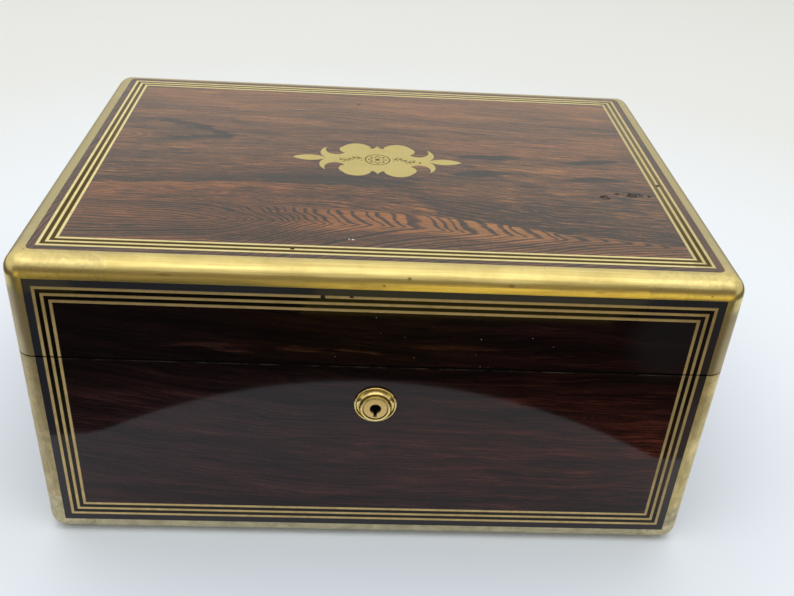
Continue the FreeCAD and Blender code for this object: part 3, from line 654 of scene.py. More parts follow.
@dataclass(frozen=True)
class Brass(Finish):
    """Old polished brass: brushed along its length, tarnished in clouds, pitted and dented."""

    bright: Colour = (0.93, 0.76, 0.34)
    dull: Colour = (0.68, 0.52, 0.21)
    tarnish: float = 0.5
    # Duller colour behind the front edge and below a height: tarnish, and painted shade on the faces that turn from
    # the light.
    aged_and_shaded: float = 0.0
    aged_and_shaded_to: Colour = (0.57, 0.51, 0.31)
    aged_and_shaded_below: float = -1.0
    # Dark patches at (along, height): real spots on the edging, painted shade on the inlaid lines.
    stains_and_shade: tuple[Mark, ...] = ()
    metal: float = 1.0
    mottle: float = 0.0
    mottle_to: Colour = (0.30, 0.25, 0.15)
    rough: float = 0.29
    swell: float = 0.30
    dents: tuple[float, ...] = (34, 8, 8)
    pits: float = 0.6
    brushed: tuple[float, ...] = (1, 1, 1)
    motif: bool = False
    turned: bool = False
    gaps: tuple[tuple[int, int, tuple[float, float, float, float]], ...] = ()
    # Painted shade: past this depth the cylinder, the inside of the keyhole, is painted black.
    shaded_past: float | None = None
    rings: tuple[tuple[float, float], ...] = ()
    seam: float = 0.0
    scratch: float = 0.018
    # Painted shade: multipliers for the upright part at the left and at the right, one side lit and the other shaded.
    sides: tuple[Colour, Colour] | None = None
    nest: tuple[float, ...] = ()

    def _motif(self, board: Board, x: Wire, y: Wire) -> Wire:
        """An engraved rosette between two leafy sprays, as a mask of thin lines.

        The rosette's edge is the radius 3.6 + 0.8 cos(8 angle), ringed by a circle; each
        spray is a sine along the plate with slanted strokes either side.

        Args:
            board: the material's nodes.
            x: the place along the box.
            y: the place across it.

        Returns:
            The mask's wire.
        """
        rise = board.rise
        x, y = x + 1.0, y + 0.8
        radius = board.math("SQRT", x ** 2 + y ** 2)
        petal = board.math("COSINE", board.math("ARCTAN2", y, x) * 8) * 0.8 + 3.6
        cut = rise(abs(radius - petal), 0.55, 0.25) | rise(abs(radius - 6), 0.45, 0.20) | rise(radius, 1.4, 1.1)
        run = abs(x) - 7.4
        vine = abs(y - board.math("SINE", run * 0.55) * 1.7)
        stroke = (run - vine * 0.9) % 2.2 - 1.1
        leaf = rise(abs(stroke), 0.45, 0.20) * rise(vine, 2.3, 1.9)
        return cut | ((rise(vine, 0.42, 0.20) | leaf) * rise(run, 0.0, 0.5) * rise(run, 11.6, 10.8))

    def _missing_and_shaded(self, board: Board, place: Sequence[Wire]) -> Wire | None:
        """A mask of what isn't bare metal: missing bits of inlay, and the inside of a keyhole, painted black as shade.

        Args:
            board: the material's nodes.
            place: the surface point.

        Returns:
            The mask's wire, or nothing where all is metal.
        """
        # Painted shade: the keyhole's inside is black.
        if self.shaded_past is not None:
            return board.rise(place[1], self.shaded_past, self.shaded_past + 0.5)
        missing_and_shaded: Wire | None = None
        for first, second, (a, b, half_a, half_b) in self.gaps:
            bit = board.rise(abs(place[first] - a), half_a * 1.25, half_a * 0.85)
            bit = bit * board.rise(abs(place[second] - b), half_b * 1.25, half_b * 0.85)
            missing_and_shaded = bit if missing_and_shaded is None else missing_and_shaded | bit
        return missing_and_shaded

    def paint(self, board: Board) -> bpy.types.Material:
        """Clouds of tarnish, brush marks along the brushed axis, pits, and gaps in inlay.

        Args:
            board: the material's nodes.

        Returns:
            The finished material.
        """
        rise, blend = board.rise, board.blend
        place = board.place()
        x, y, z = place
        run = (*board.turned(x, y, BRASS_TURN), z) if self.turned else place
        clouds = board.cloud(place, 19, 4, 0.62)
        brush = board.cloud(run, self.brushed, 3, 0.7)
        grime = rise(clouds + (brush - 0.5) * 0.5, 0.40, 0.74) * self.tarnish
        colour = blend(grime, self.bright, self.dull)
        # Tarnish and painted shade: the sides, back and lower faces take a duller colour than the lit front and top.
        if self.aged_and_shaded:
            dulled = rise(y + (clouds - 0.5) * 10, -105, -92) * self.aged_and_shaded
            if self.aged_and_shaded_below > 0.0:
                dulled = dulled | rise(z + (clouds - 0.5) * 6, self.aged_and_shaded_below, self.aged_and_shaded_below - 6)
            colour = blend(dulled, colour, self.aged_and_shaded_to)
            grime = grime | (dulled * 0.8)
        colour = blend(rise(brush, 0.35, 0.75) * 0.40, colour, self.dull)
        if self.mottle:
            colour = blend(rise(board.cloud(place, 5.5, 5, 0.68, 7), 0.40, 0.68) * self.mottle, colour, self.mottle_to)
        spots = rise(board.cloud(place, 2.3, 3, 0.6, 31), 0.71, 0.76) * self.pits
        colour = blend(spots, colour, (0.16, 0.10, 0.04))
        rough = grime * 0.14 + spots * 0.3 + (brush - 0.5) * 0.10 + self.rough
        # Dark patches: real spots on the edging, painted shade on the inlaid lines.
        for dark_patch in self.stains_and_shade:
            colour = blend(dark_patch.mask(board, x, z, 0.2) * dark_patch.tone, colour, (0.22, 0.15, 0.06))
        normal = board.bump(brush, self.scratch, board.bump(board.cloud(run, self.dents, 1), self.swell))
        # Painted shade: below the top, the left and the right take different multipliers.
        if self.sides is not None:
            side = blend(rise(x, -50, 50), *self.sides)
            colour = blend(rise(z, 139, 129), colour, side, "MULTIPLY")
        if self.nest:
            axis, far_u, far_v, middle = self.nest
            level = (abs(x) - far_u) | (abs(place[axis] - middle) - far_v)
            rim = rise(abs(level % STRING_PITCH - STRING_WIDTH / 2), 0.38, 0.62)
            colour = blend(rim * 0.6, colour, self.mottle_to)
        if self.motif:
            cut = self._motif(board, x, y)
            colour = blend(cut * 0.85, colour, (0.12, 0.08, 0.03))
            rough = rough + cut * 0.2
            normal = board.bump(1.0 - cut, 0.10, normal)
        # Thin dark rings round the lock's axis at the given radii, rougher than the rest.
        for radius, half in self.rings:
            out = board.math("SQRT", x ** 2 + (z - LOCK_Z) ** 2)
            dark_ring = rise(abs(out - radius), half, half * 0.4)
            colour = blend(dark_ring * 0.9, colour, (0.05, 0.03, 0.01))
            rough = rough + dark_ring * 0.3
        if self.seam:
            colour = blend(rise(abs(z - self.seam), 0.45, 0.25) * 0.9, colour, (0.04, 0.03, 0.015))
        metal: Value = self.metal
        missing_and_shaded = self._missing_and_shaded(board, place)
        # Missing inlay, and the keyhole's painted shade: near black and not metal.
        if missing_and_shaded is not None:
            colour = blend(missing_and_shaded, colour, (0.006, 0.005, 0.004))
            metal, rough = (1.0 - missing_and_shaded) * self.metal, rough + missing_and_shaded * 0.5
        return board.surface(Base_Color=colour, Metallic=metal, Roughness=rough, Normal=normal)


@dataclass(frozen=True)
class Steel(Finish):
    """Filed iron of the bolt and the hinge pins, with a little brown."""

    def paint(self, board: Board) -> bpy.types.Material:
        """File marks along X over grey, with clouds of rust.

        Args:
            board: the material's nodes.

        Returns:
            The finished material.
        """
        place = board.place()
        marks = board.cloud(place, (9, 0.35, 0.35))
        rust = board.rise(board.cloud(place, 4, 4, 0.6), 0.52, 0.7)
        return board.surface(
            Base_Color=board.blend(rust, (0.42, 0.41, 0.40), (0.12, 0.07, 0.045)), Metallic=1.0 - rust * 0.7,
            Roughness=marks * 0.2 + rust * 0.3 + 0.22, Normal=board.bump(marks, 0.01),
        )


@dataclass(frozen=True)
class CarcaseWood(Finish):
    """Planed mahogany boards under the veneer."""

    lie: Lie

    def paint(self, board: Board) -> bpy.types.Material:
        """Soft lines along the board with open pores.

        Args:
            board: the material's nodes.

        Returns:
            The finished material.
        """
        place = board.place()
        u, v = (place[axis] for axis in self.lie.value)
        drift = board.sheet(u, v, 60, 18, 2) - 0.5
        lines = board.lines((v + drift * 8) / 2.2, 3.0, 0.6)
        pores = board.rise(board.sheet(u, v, 4, 0.4, 1, 1), 0.58, 0.7)
        tone = lines * 0.7 - pores * 0.2 + 0.1
        stops = ((0, (0.10, 0.035, 0.018)), (0.5, (0.21, 0.085, 0.042)), (1, (0.33, 0.15, 0.08)))
        return board.surface(
            Base_Color=board.ramp(tone, stops), Roughness=tone * 0.2 + 0.5, Normal=board.bump(lines - pores, 0.03),
        )


@dataclass(frozen=True)
class Velvet(Finish):
    """Silk velvet with a short pile, brushed lighter in patches."""

    deep: Colour = (0.030, 0.006, 0.052)
    light: Colour = (0.075, 0.020, 0.115)
    sheen: Colour = (0.62, 0.42, 0.78)
    pile: float = 0.35

    def paint(self, board: Board) -> bpy.types.Material:
        """Fine pile noise over crushed clouds; the sheen does the rest.

        Args:
            board: the material's nodes.

        Returns:
            The finished material.
        """
        place = board.place()
        crush = board.cloud(place, 16, 3, 0.6)
        pile = board.cloud(place, self.pile)
        tone = board.rise(crush, 0.25, 0.8) * 0.4 + (pile - 0.5) * 0.5 + 0.15
        return board.surface(
            Base_Color=board.blend(tone, self.deep, self.light), Roughness=0.85, Normal=board.bump(pile, 0.12),
            Specular_IOR_Level=0.1, Sheen_Weight=0.55, Sheen_Roughness=0.35, Sheen_Tint=rgba(self.sheen),
        )


@dataclass(frozen=True)
class Satin(Finish):
    """Silk satin with fine ribs of thread."""

    deep: Colour = (0.075, 0.022, 0.120)
    light: Colour = (0.150, 0.055, 0.215)
    sheen: Colour = (0.7, 0.55, 0.9)

    def paint(self, board: Board) -> bpy.types.Material:
        """Threads are two sines, fine along Y and coarser along X, under faint clouds.

        Args:
            board: the material's nodes.

        Returns:
            The finished material.
        """
        place = board.place()
        weft = board.math("SINE", place[1] * 6.5 + board.math("SINE", place[0] * 7.5) * 0.8)
        weave = board.math("SINE", place[0] * 15) * 0.3 + weft * 0.25
        colour = board.blend(board.cloud(place, 30, 3) * 0.8 + weave * 0.25, self.deep, self.light)
        return board.surface(
            Base_Color=colour, Roughness=weave * 0.05 + 0.36, Normal=board.bump(weave, 0.02), Sheen_Weight=0.25,
            Sheen_Roughness=0.3, Sheen_Tint=rgba(self.sheen), Specular_IOR_Level=0.45,
        )


@dataclass(frozen=True)
class Baize(Finish):
    """Green felted baize glued under the base."""

    def paint(self, board: Board) -> bpy.types.Material:
        """Felt fibres as two scales of noise.

        Args:
            board: the material's nodes.

        Returns:
            The finished material.
        """
        place = board.place()
        felt = board.cloud(place, 0.7, 4, 0.7)
        tone = board.cloud(place, 24, 4, 0.6) * 0.6 + felt * 0.5
        colour = board.ramp(tone, ((0.2, (0.012, 0.040, 0.020)), (0.8, (0.050, 0.115, 0.060))))
        return board.surface(
            Base_Color=colour, Roughness=0.95, Normal=board.bump(felt, 0.2),
            Sheen_Weight=0.3, Sheen_Tint=rgba((0.5, 0.8, 0.6)), Specular_IOR_Level=0.1,
        )


@dataclass(frozen=True)
class Plain(Finish):
    """An even, dull surface of the studio, whose colour may change with distance."""

    colour: Colour = (0.7, 0.7, 0.7)
    rings: tuple[tuple[float, Colour], ...] = ()
    reach: float = 4000.0

    def paint(self, board: Board) -> bpy.types.Material:
        """The colour with a trace of unevenness, or the rings' colours by distance over reach.

        Args:
            board: the material's nodes.

        Returns:
            The finished material.
        """
        place = board.place()
        base: Wire | Colour = self.colour
        if self.rings:
            base = board.ramp(board.math("SQRT", place[0] ** 2 + place[1] ** 2) / self.reach, self.rings)
        colour = board.blend(board.cloud(place, 90) * 0.3, base, (0.95, 0.95, 0.95), "MULTIPLY")
        return board.surface(Base_Color=colour, Roughness=0.9, Specular_IOR_Level=0.05)


def marks(*rows: Sequence[float]) -> tuple[Mark, ...]:
    """A Mark for each row of along, across, half length, half width, tone and slope."""
    return tuple(Mark(*row) for row in rows)


@dataclass(frozen=True)
class Palette:
    """Every finish of the box, by where it goes."""

    top: Rosewood = Rosewood(
        "rosewood_top", Lie.FLAT, 4, TOP_STOPS, heart=-69, slope=-0.10, drift=10, late=0.42, grain=1.0, streak=0.62,
        zone=0.58, lean_from=-20, crisp=(0.7, 3.4), combed=0.50, border=0.35, sealed=1.0, strings=TOP_STRINGS,
        mastic=(0.068, 0.050, 0.012),
        crown_top=(
            (-150, -46), (-62, -54), (-29, -56.2), (-4, -57.3), (20, -59), (40, -62), (60, -66.3), (80, -71.5),
            (150, -84),
        ),
        crown_dive=(
            (-200, 0), (-95, 0), (-72, 0.8), (-52, 4), (-30, 9), (0, 14.5), (40, 19.5), (80, 24), (150, 31),
        ),
        tints_and_painted_light=(
            Wash(Mark(-60, -48, 130, 58, 1), (0.90, 0.74, 0.57)),
            # Painted reflection: a paler strip along the right end, where a brighter wall shows in the polish.
            Wash(Mark(134.2, 20, 4.6, 112, 0.55), (0.20, 0.16, 0.09), "MIX"),
        ),
        marks=marks(
            (-96, 33, 24, 4.5, -0.45, -0.45), (-92, 17, 26, 3, -0.34, 0.25), (-80, 22, 7, 7, -0.36),
            (-52, 46, 34, 5, 0.22, -0.06), (-90, -24, 62, 9, 0.10, 0.02), (-15, -25, 60, 6, -0.14, -0.04),
            (55, 6.5, 17, 3.4, -0.60, 0.08), (106, 5.5, 18, 3.4, -0.60, 0.10), (48, -13.5, 15, 4, -0.50),
            (104, -15, 20, 3.4, -0.50, 0.15), (-118, 52, 40, 4, 0.16), (20, 44, 40, 5, 0.14),
            (-20, 20, 26, 3, -0.2), (84, -5, 50, 6, 0.24), (0, 82, 230, 44, 0.20), (80, 26, 90, 26, 0.14),
            (-60, -80, 90, 9, -0.16),
        ),
        shores=(Shore(
            ((-150, -38), (-96, -34), (-60, -29.5), (-18, -31), (4, -32), (15, -40), (25, -58), (40, -62),
             (60, -66.5), (80, -71), (112, -76), (150, -82)),
            over=-0.25, over_reach=(12, 56), under=0.11, under_reach=13, soft=(16, 18, 13),
        ),),
        eyes=marks((-130, 19, 20, 9, 0.56), (110, -69, 7, 3, 0.42)),
        chips=marks((-12, -83, 0.7, 0.55, 0.9), (-13.6, -82.7, 0.5, 0.4, 0.7)),
        wounds=marks(
            (105.4, -33.4, 3.4, 3.6, 0.95), (118.6, -30.2, 4.4, 3.4, 0.95), (122.4, -29.6, 2.6, 2.6, 0.9),
            (112.4, -29.4, 2.8, 1.6, 0.8), (127.2, -30.8, 1.6, 1.7, 0.9), (-11, 73.9, 1.7, 1, 0.8),
        ),
    )
    front: Rosewood = Rosewood(
        "rosewood_front", Lie.FRONT, 11, slope=-0.02, bend=0.0006, wave=1.8, dust=0.8, strings=FRONT_STRINGS,
        # The front is darkened by painted shade from 66 mm up.
        coat=1.37, under_coat=0.0, shade=(66, 101, 0.22), seam=JOINT_Z, border=0.75,
        mastic=(0.011, 0.009, 0.005), sealed=0.20, zone=0.95, ends=(0.75, 1.15), eyes=marks((100, 77, 9, 4, 0.42)),
        # Painted reflection and painted shade in the polish: redder at the right, bluer at the left, yellower along
        # the lid, darker at the lid's right end, greyer low on the right border.
        tints_and_painted_light=(
            Wash(Mark(115, 72, 150, 70, 1), (1.12, 0.78, 0.55)),
            Wash(Mark(-120, 80, 120, 80, 1), (0.80, 0.84, 0.95)),
            Wash(Mark(-10, 118, 70, 26, 1), (1.0, 1.0, 0.35)),
            Wash(Mark(122, 120, 22, 26, 0.6), (0.0120, 0.0095, 0.0100), "MIX"),
            Wash(Mark(142, 52, 9, 50, 0.5), (0.045, 0.034, 0.035), "MIX"),
        ),
        marks=marks(
            (-70, 110, 22, 1.6, 0.50), (-62, 107.5, 14, 1.2, 0.50), (-34, 108.5, 14, 1.6, 0.42),
            (-12, 108, 12, 1.4, 0.50), (30, 112, 30, 2, 0.3), (74, 98, 34, 5, 0.24), (-86, 83, 30, 5, 0.14),
            (122, 66, 12, 16, 0.16), (20, 60, 40, 5, 0.14),
        ),
    )
    side: Rosewood = Rosewood("rosewood_side", Lie.SIDE, 23, coat=1.42, seam=JOINT_Z)
    back: Rosewood = replace(side, name="rosewood_back", lie=Lie.FRONT, seed=37)
    rim: Rosewood = Rosewood("rosewood_rim", Lie.FLAT, 51, RIM_STOPS, tone=0.36, drift=4, heart=-300)
    edging: Brass = Brass(
        "brass_edging", bright=(0.93, 0.76, 0.30), dull=(0.62, 0.46, 0.15), brushed=(50, 0.75, 0.75), turned=True,
        aged_and_shaded=0.85, swell=0.50, scratch=0.045, rough=0.31,
        stains_and_shade=marks(
            (11, 144.4, 1.1, 0.7, 0.7), (1, 141.4, 0.8, 0.6, 0.7), (52, 143, 1.6, 0.8, 0.5),
            (-86, 143, 4, 0.6, 0.35), (88, 141.6, 3, 0.6, 0.4),
        ),
    )
    # Darker than the lid's brass: tarnish, and painted shade low on the box.
    foot: Brass = Brass(
        "brass_foot", bright=(0.64, 0.56, 0.35), dull=(0.42, 0.36, 0.22), brushed=(26, 0.5, 0.5), turned=True,
        aged_and_shaded=0.4, rough=0.40, pits=0.8, tarnish=0.8, mottle=0.5,
    )
    # Darker than the lid's brass: tarnish, and painted shade on the upright corners.
    upright: Brass = Brass(
        "brass_upright", bright=(0.72, 0.60, 0.34), dull=(0.42, 0.34, 0.18), brushed=(0.5, 0.5, 16), rough=0.42,
        metal=0.85, dents=(8, 8, 26), tarnish=0.8, pits=0.9, aged_and_shaded=0.4, seam=JOINT_Z, mottle=0.5,
        sides=((0.80, 0.77, 0.72), (1.10, 1.06, 0.86)),
    )
    corner: Brass = Brass(
        "brass_corner", bright=(0.90, 0.74, 0.30), dull=(0.60, 0.47, 0.20), brushed=(2.2, 2.2, 2.2), pits=0.75,
        dents=(13, 13, 13), swell=0.25, aged_and_shaded=0.7, seam=JOINT_Z, mottle=0.14, aged_and_shaded_below=137,
        sides=((0.92, 0.86, 0.90), (0.74, 0.66, 0.60)),
    )
    # Darker than the lid's corners: tarnish, and painted shade low on the box.
    foot_corner: Brass = Brass(
        "brass_foot_corner", bright=(0.66, 0.57, 0.35), dull=(0.36, 0.30, 0.17), brushed=(2.2, 2.2, 2.2), pits=0.9,
        dents=(13, 13, 13), swell=0.25, aged_and_shaded=0.5, rough=0.40, tarnish=0.85, mottle=0.6,
    )
    lid_string_top: Brass = Brass(
        "brass_lid_top_line", bright=(0.96, 0.83, 0.42), dull=(0.82, 0.68, 0.31), brushed=(6, 6, 1), swell=0.03,
        tarnish=0.3, rough=0.36, metal=0.7, mottle=0.22, mottle_to=(0.42, 0.33, 0.14), nest=(1, *TOP_STRINGS),
        # Painted shade: the lines darker along the right end.
        stains_and_shade=marks((134.4, 148, 6, 400, 0.34)),
        gaps=((0, 1, (134.6, -18.5, 2.2, 1.0)), (0, 1, (-36.5, -92.6, 0.8, 0.6))),
    )
    # Darker than the top's lines: painted shade on the front faces.
    string_front: Brass = Brass(
        "brass_front_line", bright=(0.66, 0.49, 0.22), dull=(0.48, 0.34, 0.14), brushed=(6, 1, 6), swell=0.03,
        tarnish=0.4, pits=0.25, rough=0.48, metal=0.66, mottle=0.3, mottle_to=(0.24, 0.17, 0.08),
        # Painted shade: the lines darker along the lid's upper rows and up the right end.
        nest=(2, *FRONT_STRINGS), seam=JOINT_Z, stains_and_shade=marks((0, 134, 400, 20, 0.42), (136, 74, 12, 90, 0.42)),
        gaps=((0, 2, (-23.3, 135.4, 0.9, 0.8)), (0, 2, (-11.8, 135.7, 0.8, 0.4))),
    )
    cartouche: Brass = Brass(
        "brass_cartouche", bright=(0.80, 0.67, 0.27), dull=(0.66, 0.53, 0.20), brushed=(14, 0.6, 1),
        swell=0.04, tarnish=0.4, rough=0.34, motif=True, gaps=((0, 1, (19.9, -2.7, 0.5, 0.6)),),
    )
    lock: Brass = Brass(
        "brass_lock", bright=(0.95, 0.76, 0.31), dull=(0.66, 0.48, 0.17), brushed=(0.8, 0.8, 0.8), rough=0.15,
        swell=0.01, pits=0.3, rings=((8.28, 0.24), (5.42, 0.26), (6.62, 0.12)),
    )
    cylinder: Brass = Brass(
        "brass_cylinder", bright=(0.95, 0.68, 0.28), dull=(0.80, 0.52, 0.19), brushed=(0.5, 0.5, 0.5), rough=0.36,
        swell=0.02, shaded_past=-111.4, rings=((5.4, 0.35),),
    )
    fitting: Brass = Brass("brass_fitting", brushed=(8, 0.5, 0.5), tarnish=0.7, rough=0.30, swell=0.05)
    steel: Steel = Steel("filed_steel")
    board: CarcaseWood = CarcaseWood("mahogany_board", Lie.FRONT)
    board_side: CarcaseWood = CarcaseWood("mahogany_side", Lie.SIDE)
    board_flat: CarcaseWood = CarcaseWood("mahogany_flat", Lie.FLAT)
    velvet: Velvet = Velvet("silk_velvet")
    satin: Satin = Satin("silk_satin")
    baize: Baize = Baize("green_baize")


def form(name: str, points: np.ndarray, faces: np.ndarray, finish: Finish, smooth: bool = True) -> bpy.types.Object:
    """Makes an object of one mesh in one finish.

    Args:
        name: its name.
        points: its vertices in metres in the row frame, one to a row.
        faces: the corners of each face, outward.
        finish: what it is covered with.
        smooth: whether its faces are shaded as one surface.

    Returns:
        The new object.
    """
    mesh = bpy.data.meshes.new(name)
    mesh.from_pydata(points.tolist(), [], faces.tolist())
    mesh.validate()
    mesh.polygons.foreach_set("use_smooth", np.full(len(mesh.polygons), smooth))
    mesh.update()
    mesh.materials.append(finish.make())
    made = bpy.data.objects.new(name, mesh)
    bpy.context.scene.collection.objects.link(made)
    return made


def build(
    name: str, points: np.ndarray, faces: np.ndarray, finish: Finish, body: str, smooth: bool = True,
) -> bpy.types.Object:
    """Makes a finished piece that rides on a body.

    Args:
        name: the piece's name.
        points: its vertices, as form takes them.
        faces: its faces, as form takes them.
        finish: what it is covered with.
        body: the CAD body that it moves with.
        smooth: whether its faces are shaded as one surface.

    Returns:
        The new object.
    """
    made = form(name, points, faces, finish, smooth)
    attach(made, body)
    log.info("%s: %d points, %d faces", name, len(points), len(made.data.polygons))
    return made


def quads(grid: np.ndarray) -> np.ndarray:
    """The four corners of each cell of a grid of point numbers."""
    return np.stack([c.ravel() for c in (grid[:-1, :-1], grid[1:, :-1], grid[1:, 1:], grid[:-1, 1:])], 1)


def shell_faces(rows: int, columns: int) -> np.ndarray:
    """Faces of two grids that share their rim, the first facing up and the second down.

    The first grid's points come first, row by row; then the second grid's inner points.

    Args:
        rows: points of a grid along its first parameter.
        columns: points along its second.

    Returns:
        Four point numbers a row.
    """
    upper = np.arange(rows * columns).reshape(rows, columns)
    lower = upper.copy()
    lower[1:-1, 1:-1] = np.arange((rows - 2) * (columns - 2)).reshape(rows - 2, columns - 2) + rows * columns
    return np.concatenate([quads(upper), quads(lower)[:, ::-1]])


def slab_faces(rows: int, columns: int) -> np.ndarray:
    """Faces of a slab: an upper grid, a lower grid after it, and the strip round their rims.

    Args:
        rows: points of a grid along its first parameter.
        columns: points along its second.

    Returns:
        Four point numbers a row, outward.
    """
    upper = np.arange(rows * columns).reshape(rows, columns)
    top, drop = quads(upper), rows * columns
    rim = np.concatenate([upper[:-1, 0], upper[-1, :-1], upper[:0:-1, -1], upper[0, :0:-1]])
    ahead = np.roll(rim, -1)
    return np.concatenate([top, top[:, ::-1] + drop, np.stack([rim, rim + drop, ahead + drop, ahead], 1)])


@dataclass
class Cushion:
    """A closed padded form between two corners, flat or crowned on either face.

    Its faces are height fields over a grid whose lines crowd towards the edges:
    the edge falls off as a quarter ellipse, and the crown is a product of parabolas.
    """

    low: np.ndarray
    high: np.ndarray
    thin_axis: int = 2
    edge: float = 1.1
    crown: float = 0.0
    drawn: float = 0.0
    steps: tuple[int, int] = (60, 30)
    faces_up: bool = True

    def relief(self, a: np.ndarray, b: np.ndarray) -> np.ndarray:
        """Extra height of the outer face over the grid, in metres; none on a plain pad."""
        return np.zeros_like(a)

    def points(self) -> np.ndarray:
        """All vertices, in metres, in the order that shell_faces expects.

        Returns:
            One point to a row.
        """
        first, second = ((1, 2), (2, 0), (0, 1))[self.thin_axis]
        a, b = np.meshgrid(*(np.sin(np.linspace(-0.5, 0.5, n) * math.pi) for n in self.steps), indexing="ij")
        centre, half = (self.low + self.high) / 2, (self.high - self.low) / 2
        wide = half[first] - self.drawn * MM * (1 - b ** 2)
        deep = half[second] - self.drawn * MM * (1 - a ** 2)
        rim = self.edge * MM
        falls = [
            np.sqrt(np.clip(1 - np.clip((np.abs(c) * reach - reach + rim) / rim, 0, 1) ** 2, 0, 1))
            for c, reach in ((a, wide), (b, deep))
        ]
        fall = np.minimum(*falls) * np.maximum(*falls) ** 0.5
        dome = (1 - a ** 2) * (1 - b ** 2)
        inner = -half[self.thin_axis] * fall
        outer = (self.crown * MM * dome + self.relief(a * wide, b * deep)) * fall - inner
        if not self.faces_up:
            outer, inner = -inner, -outer
        made = []
        for height, cut in ((outer, slice(None)), (inner, slice(1, -1))):
            grid = np.empty((*a.shape, 3))
            grid[..., first] = centre[first] + a * wide
            grid[..., second] = centre[second] + b * deep
            grid[..., self.thin_axis] = centre[self.thin_axis] + height
            made.append(grid[cut, cut].reshape(-1, 3))
        return np.concatenate(made)


@dataclass
class ButtonedCushion(Cushion):
    """A cushion drawn down in diamonds by rows of buttons.

    The relief is the size of sin(pi s) sin(pi t) to a small power, where s and t count the
    diagonals, so it is nought on each diagonal and deepest where two cross.
    """

    pitch: tuple[float, float] = (45.0, 47.0)
    depth: float = 6.0

    def relief(self, a: np.ndarray, b: np.ndarray) -> np.ndarray:
        """Diamonds between the buttons, in metres below the pad's full height.

        Args:
            a: the place along the pad, in metres.
            b: the place across it.

        Returns:
            The height at each place.
        """
        s, t = (a / (self.pitch[0] * MM) + sign * b / (self.pitch[1] * MM) for sign in (1, -1))
        puff = np.abs(np.sin(math.pi * s) * np.sin(math.pi * t)) ** 0.35
        return -self.depth * MM * (1 - puff)


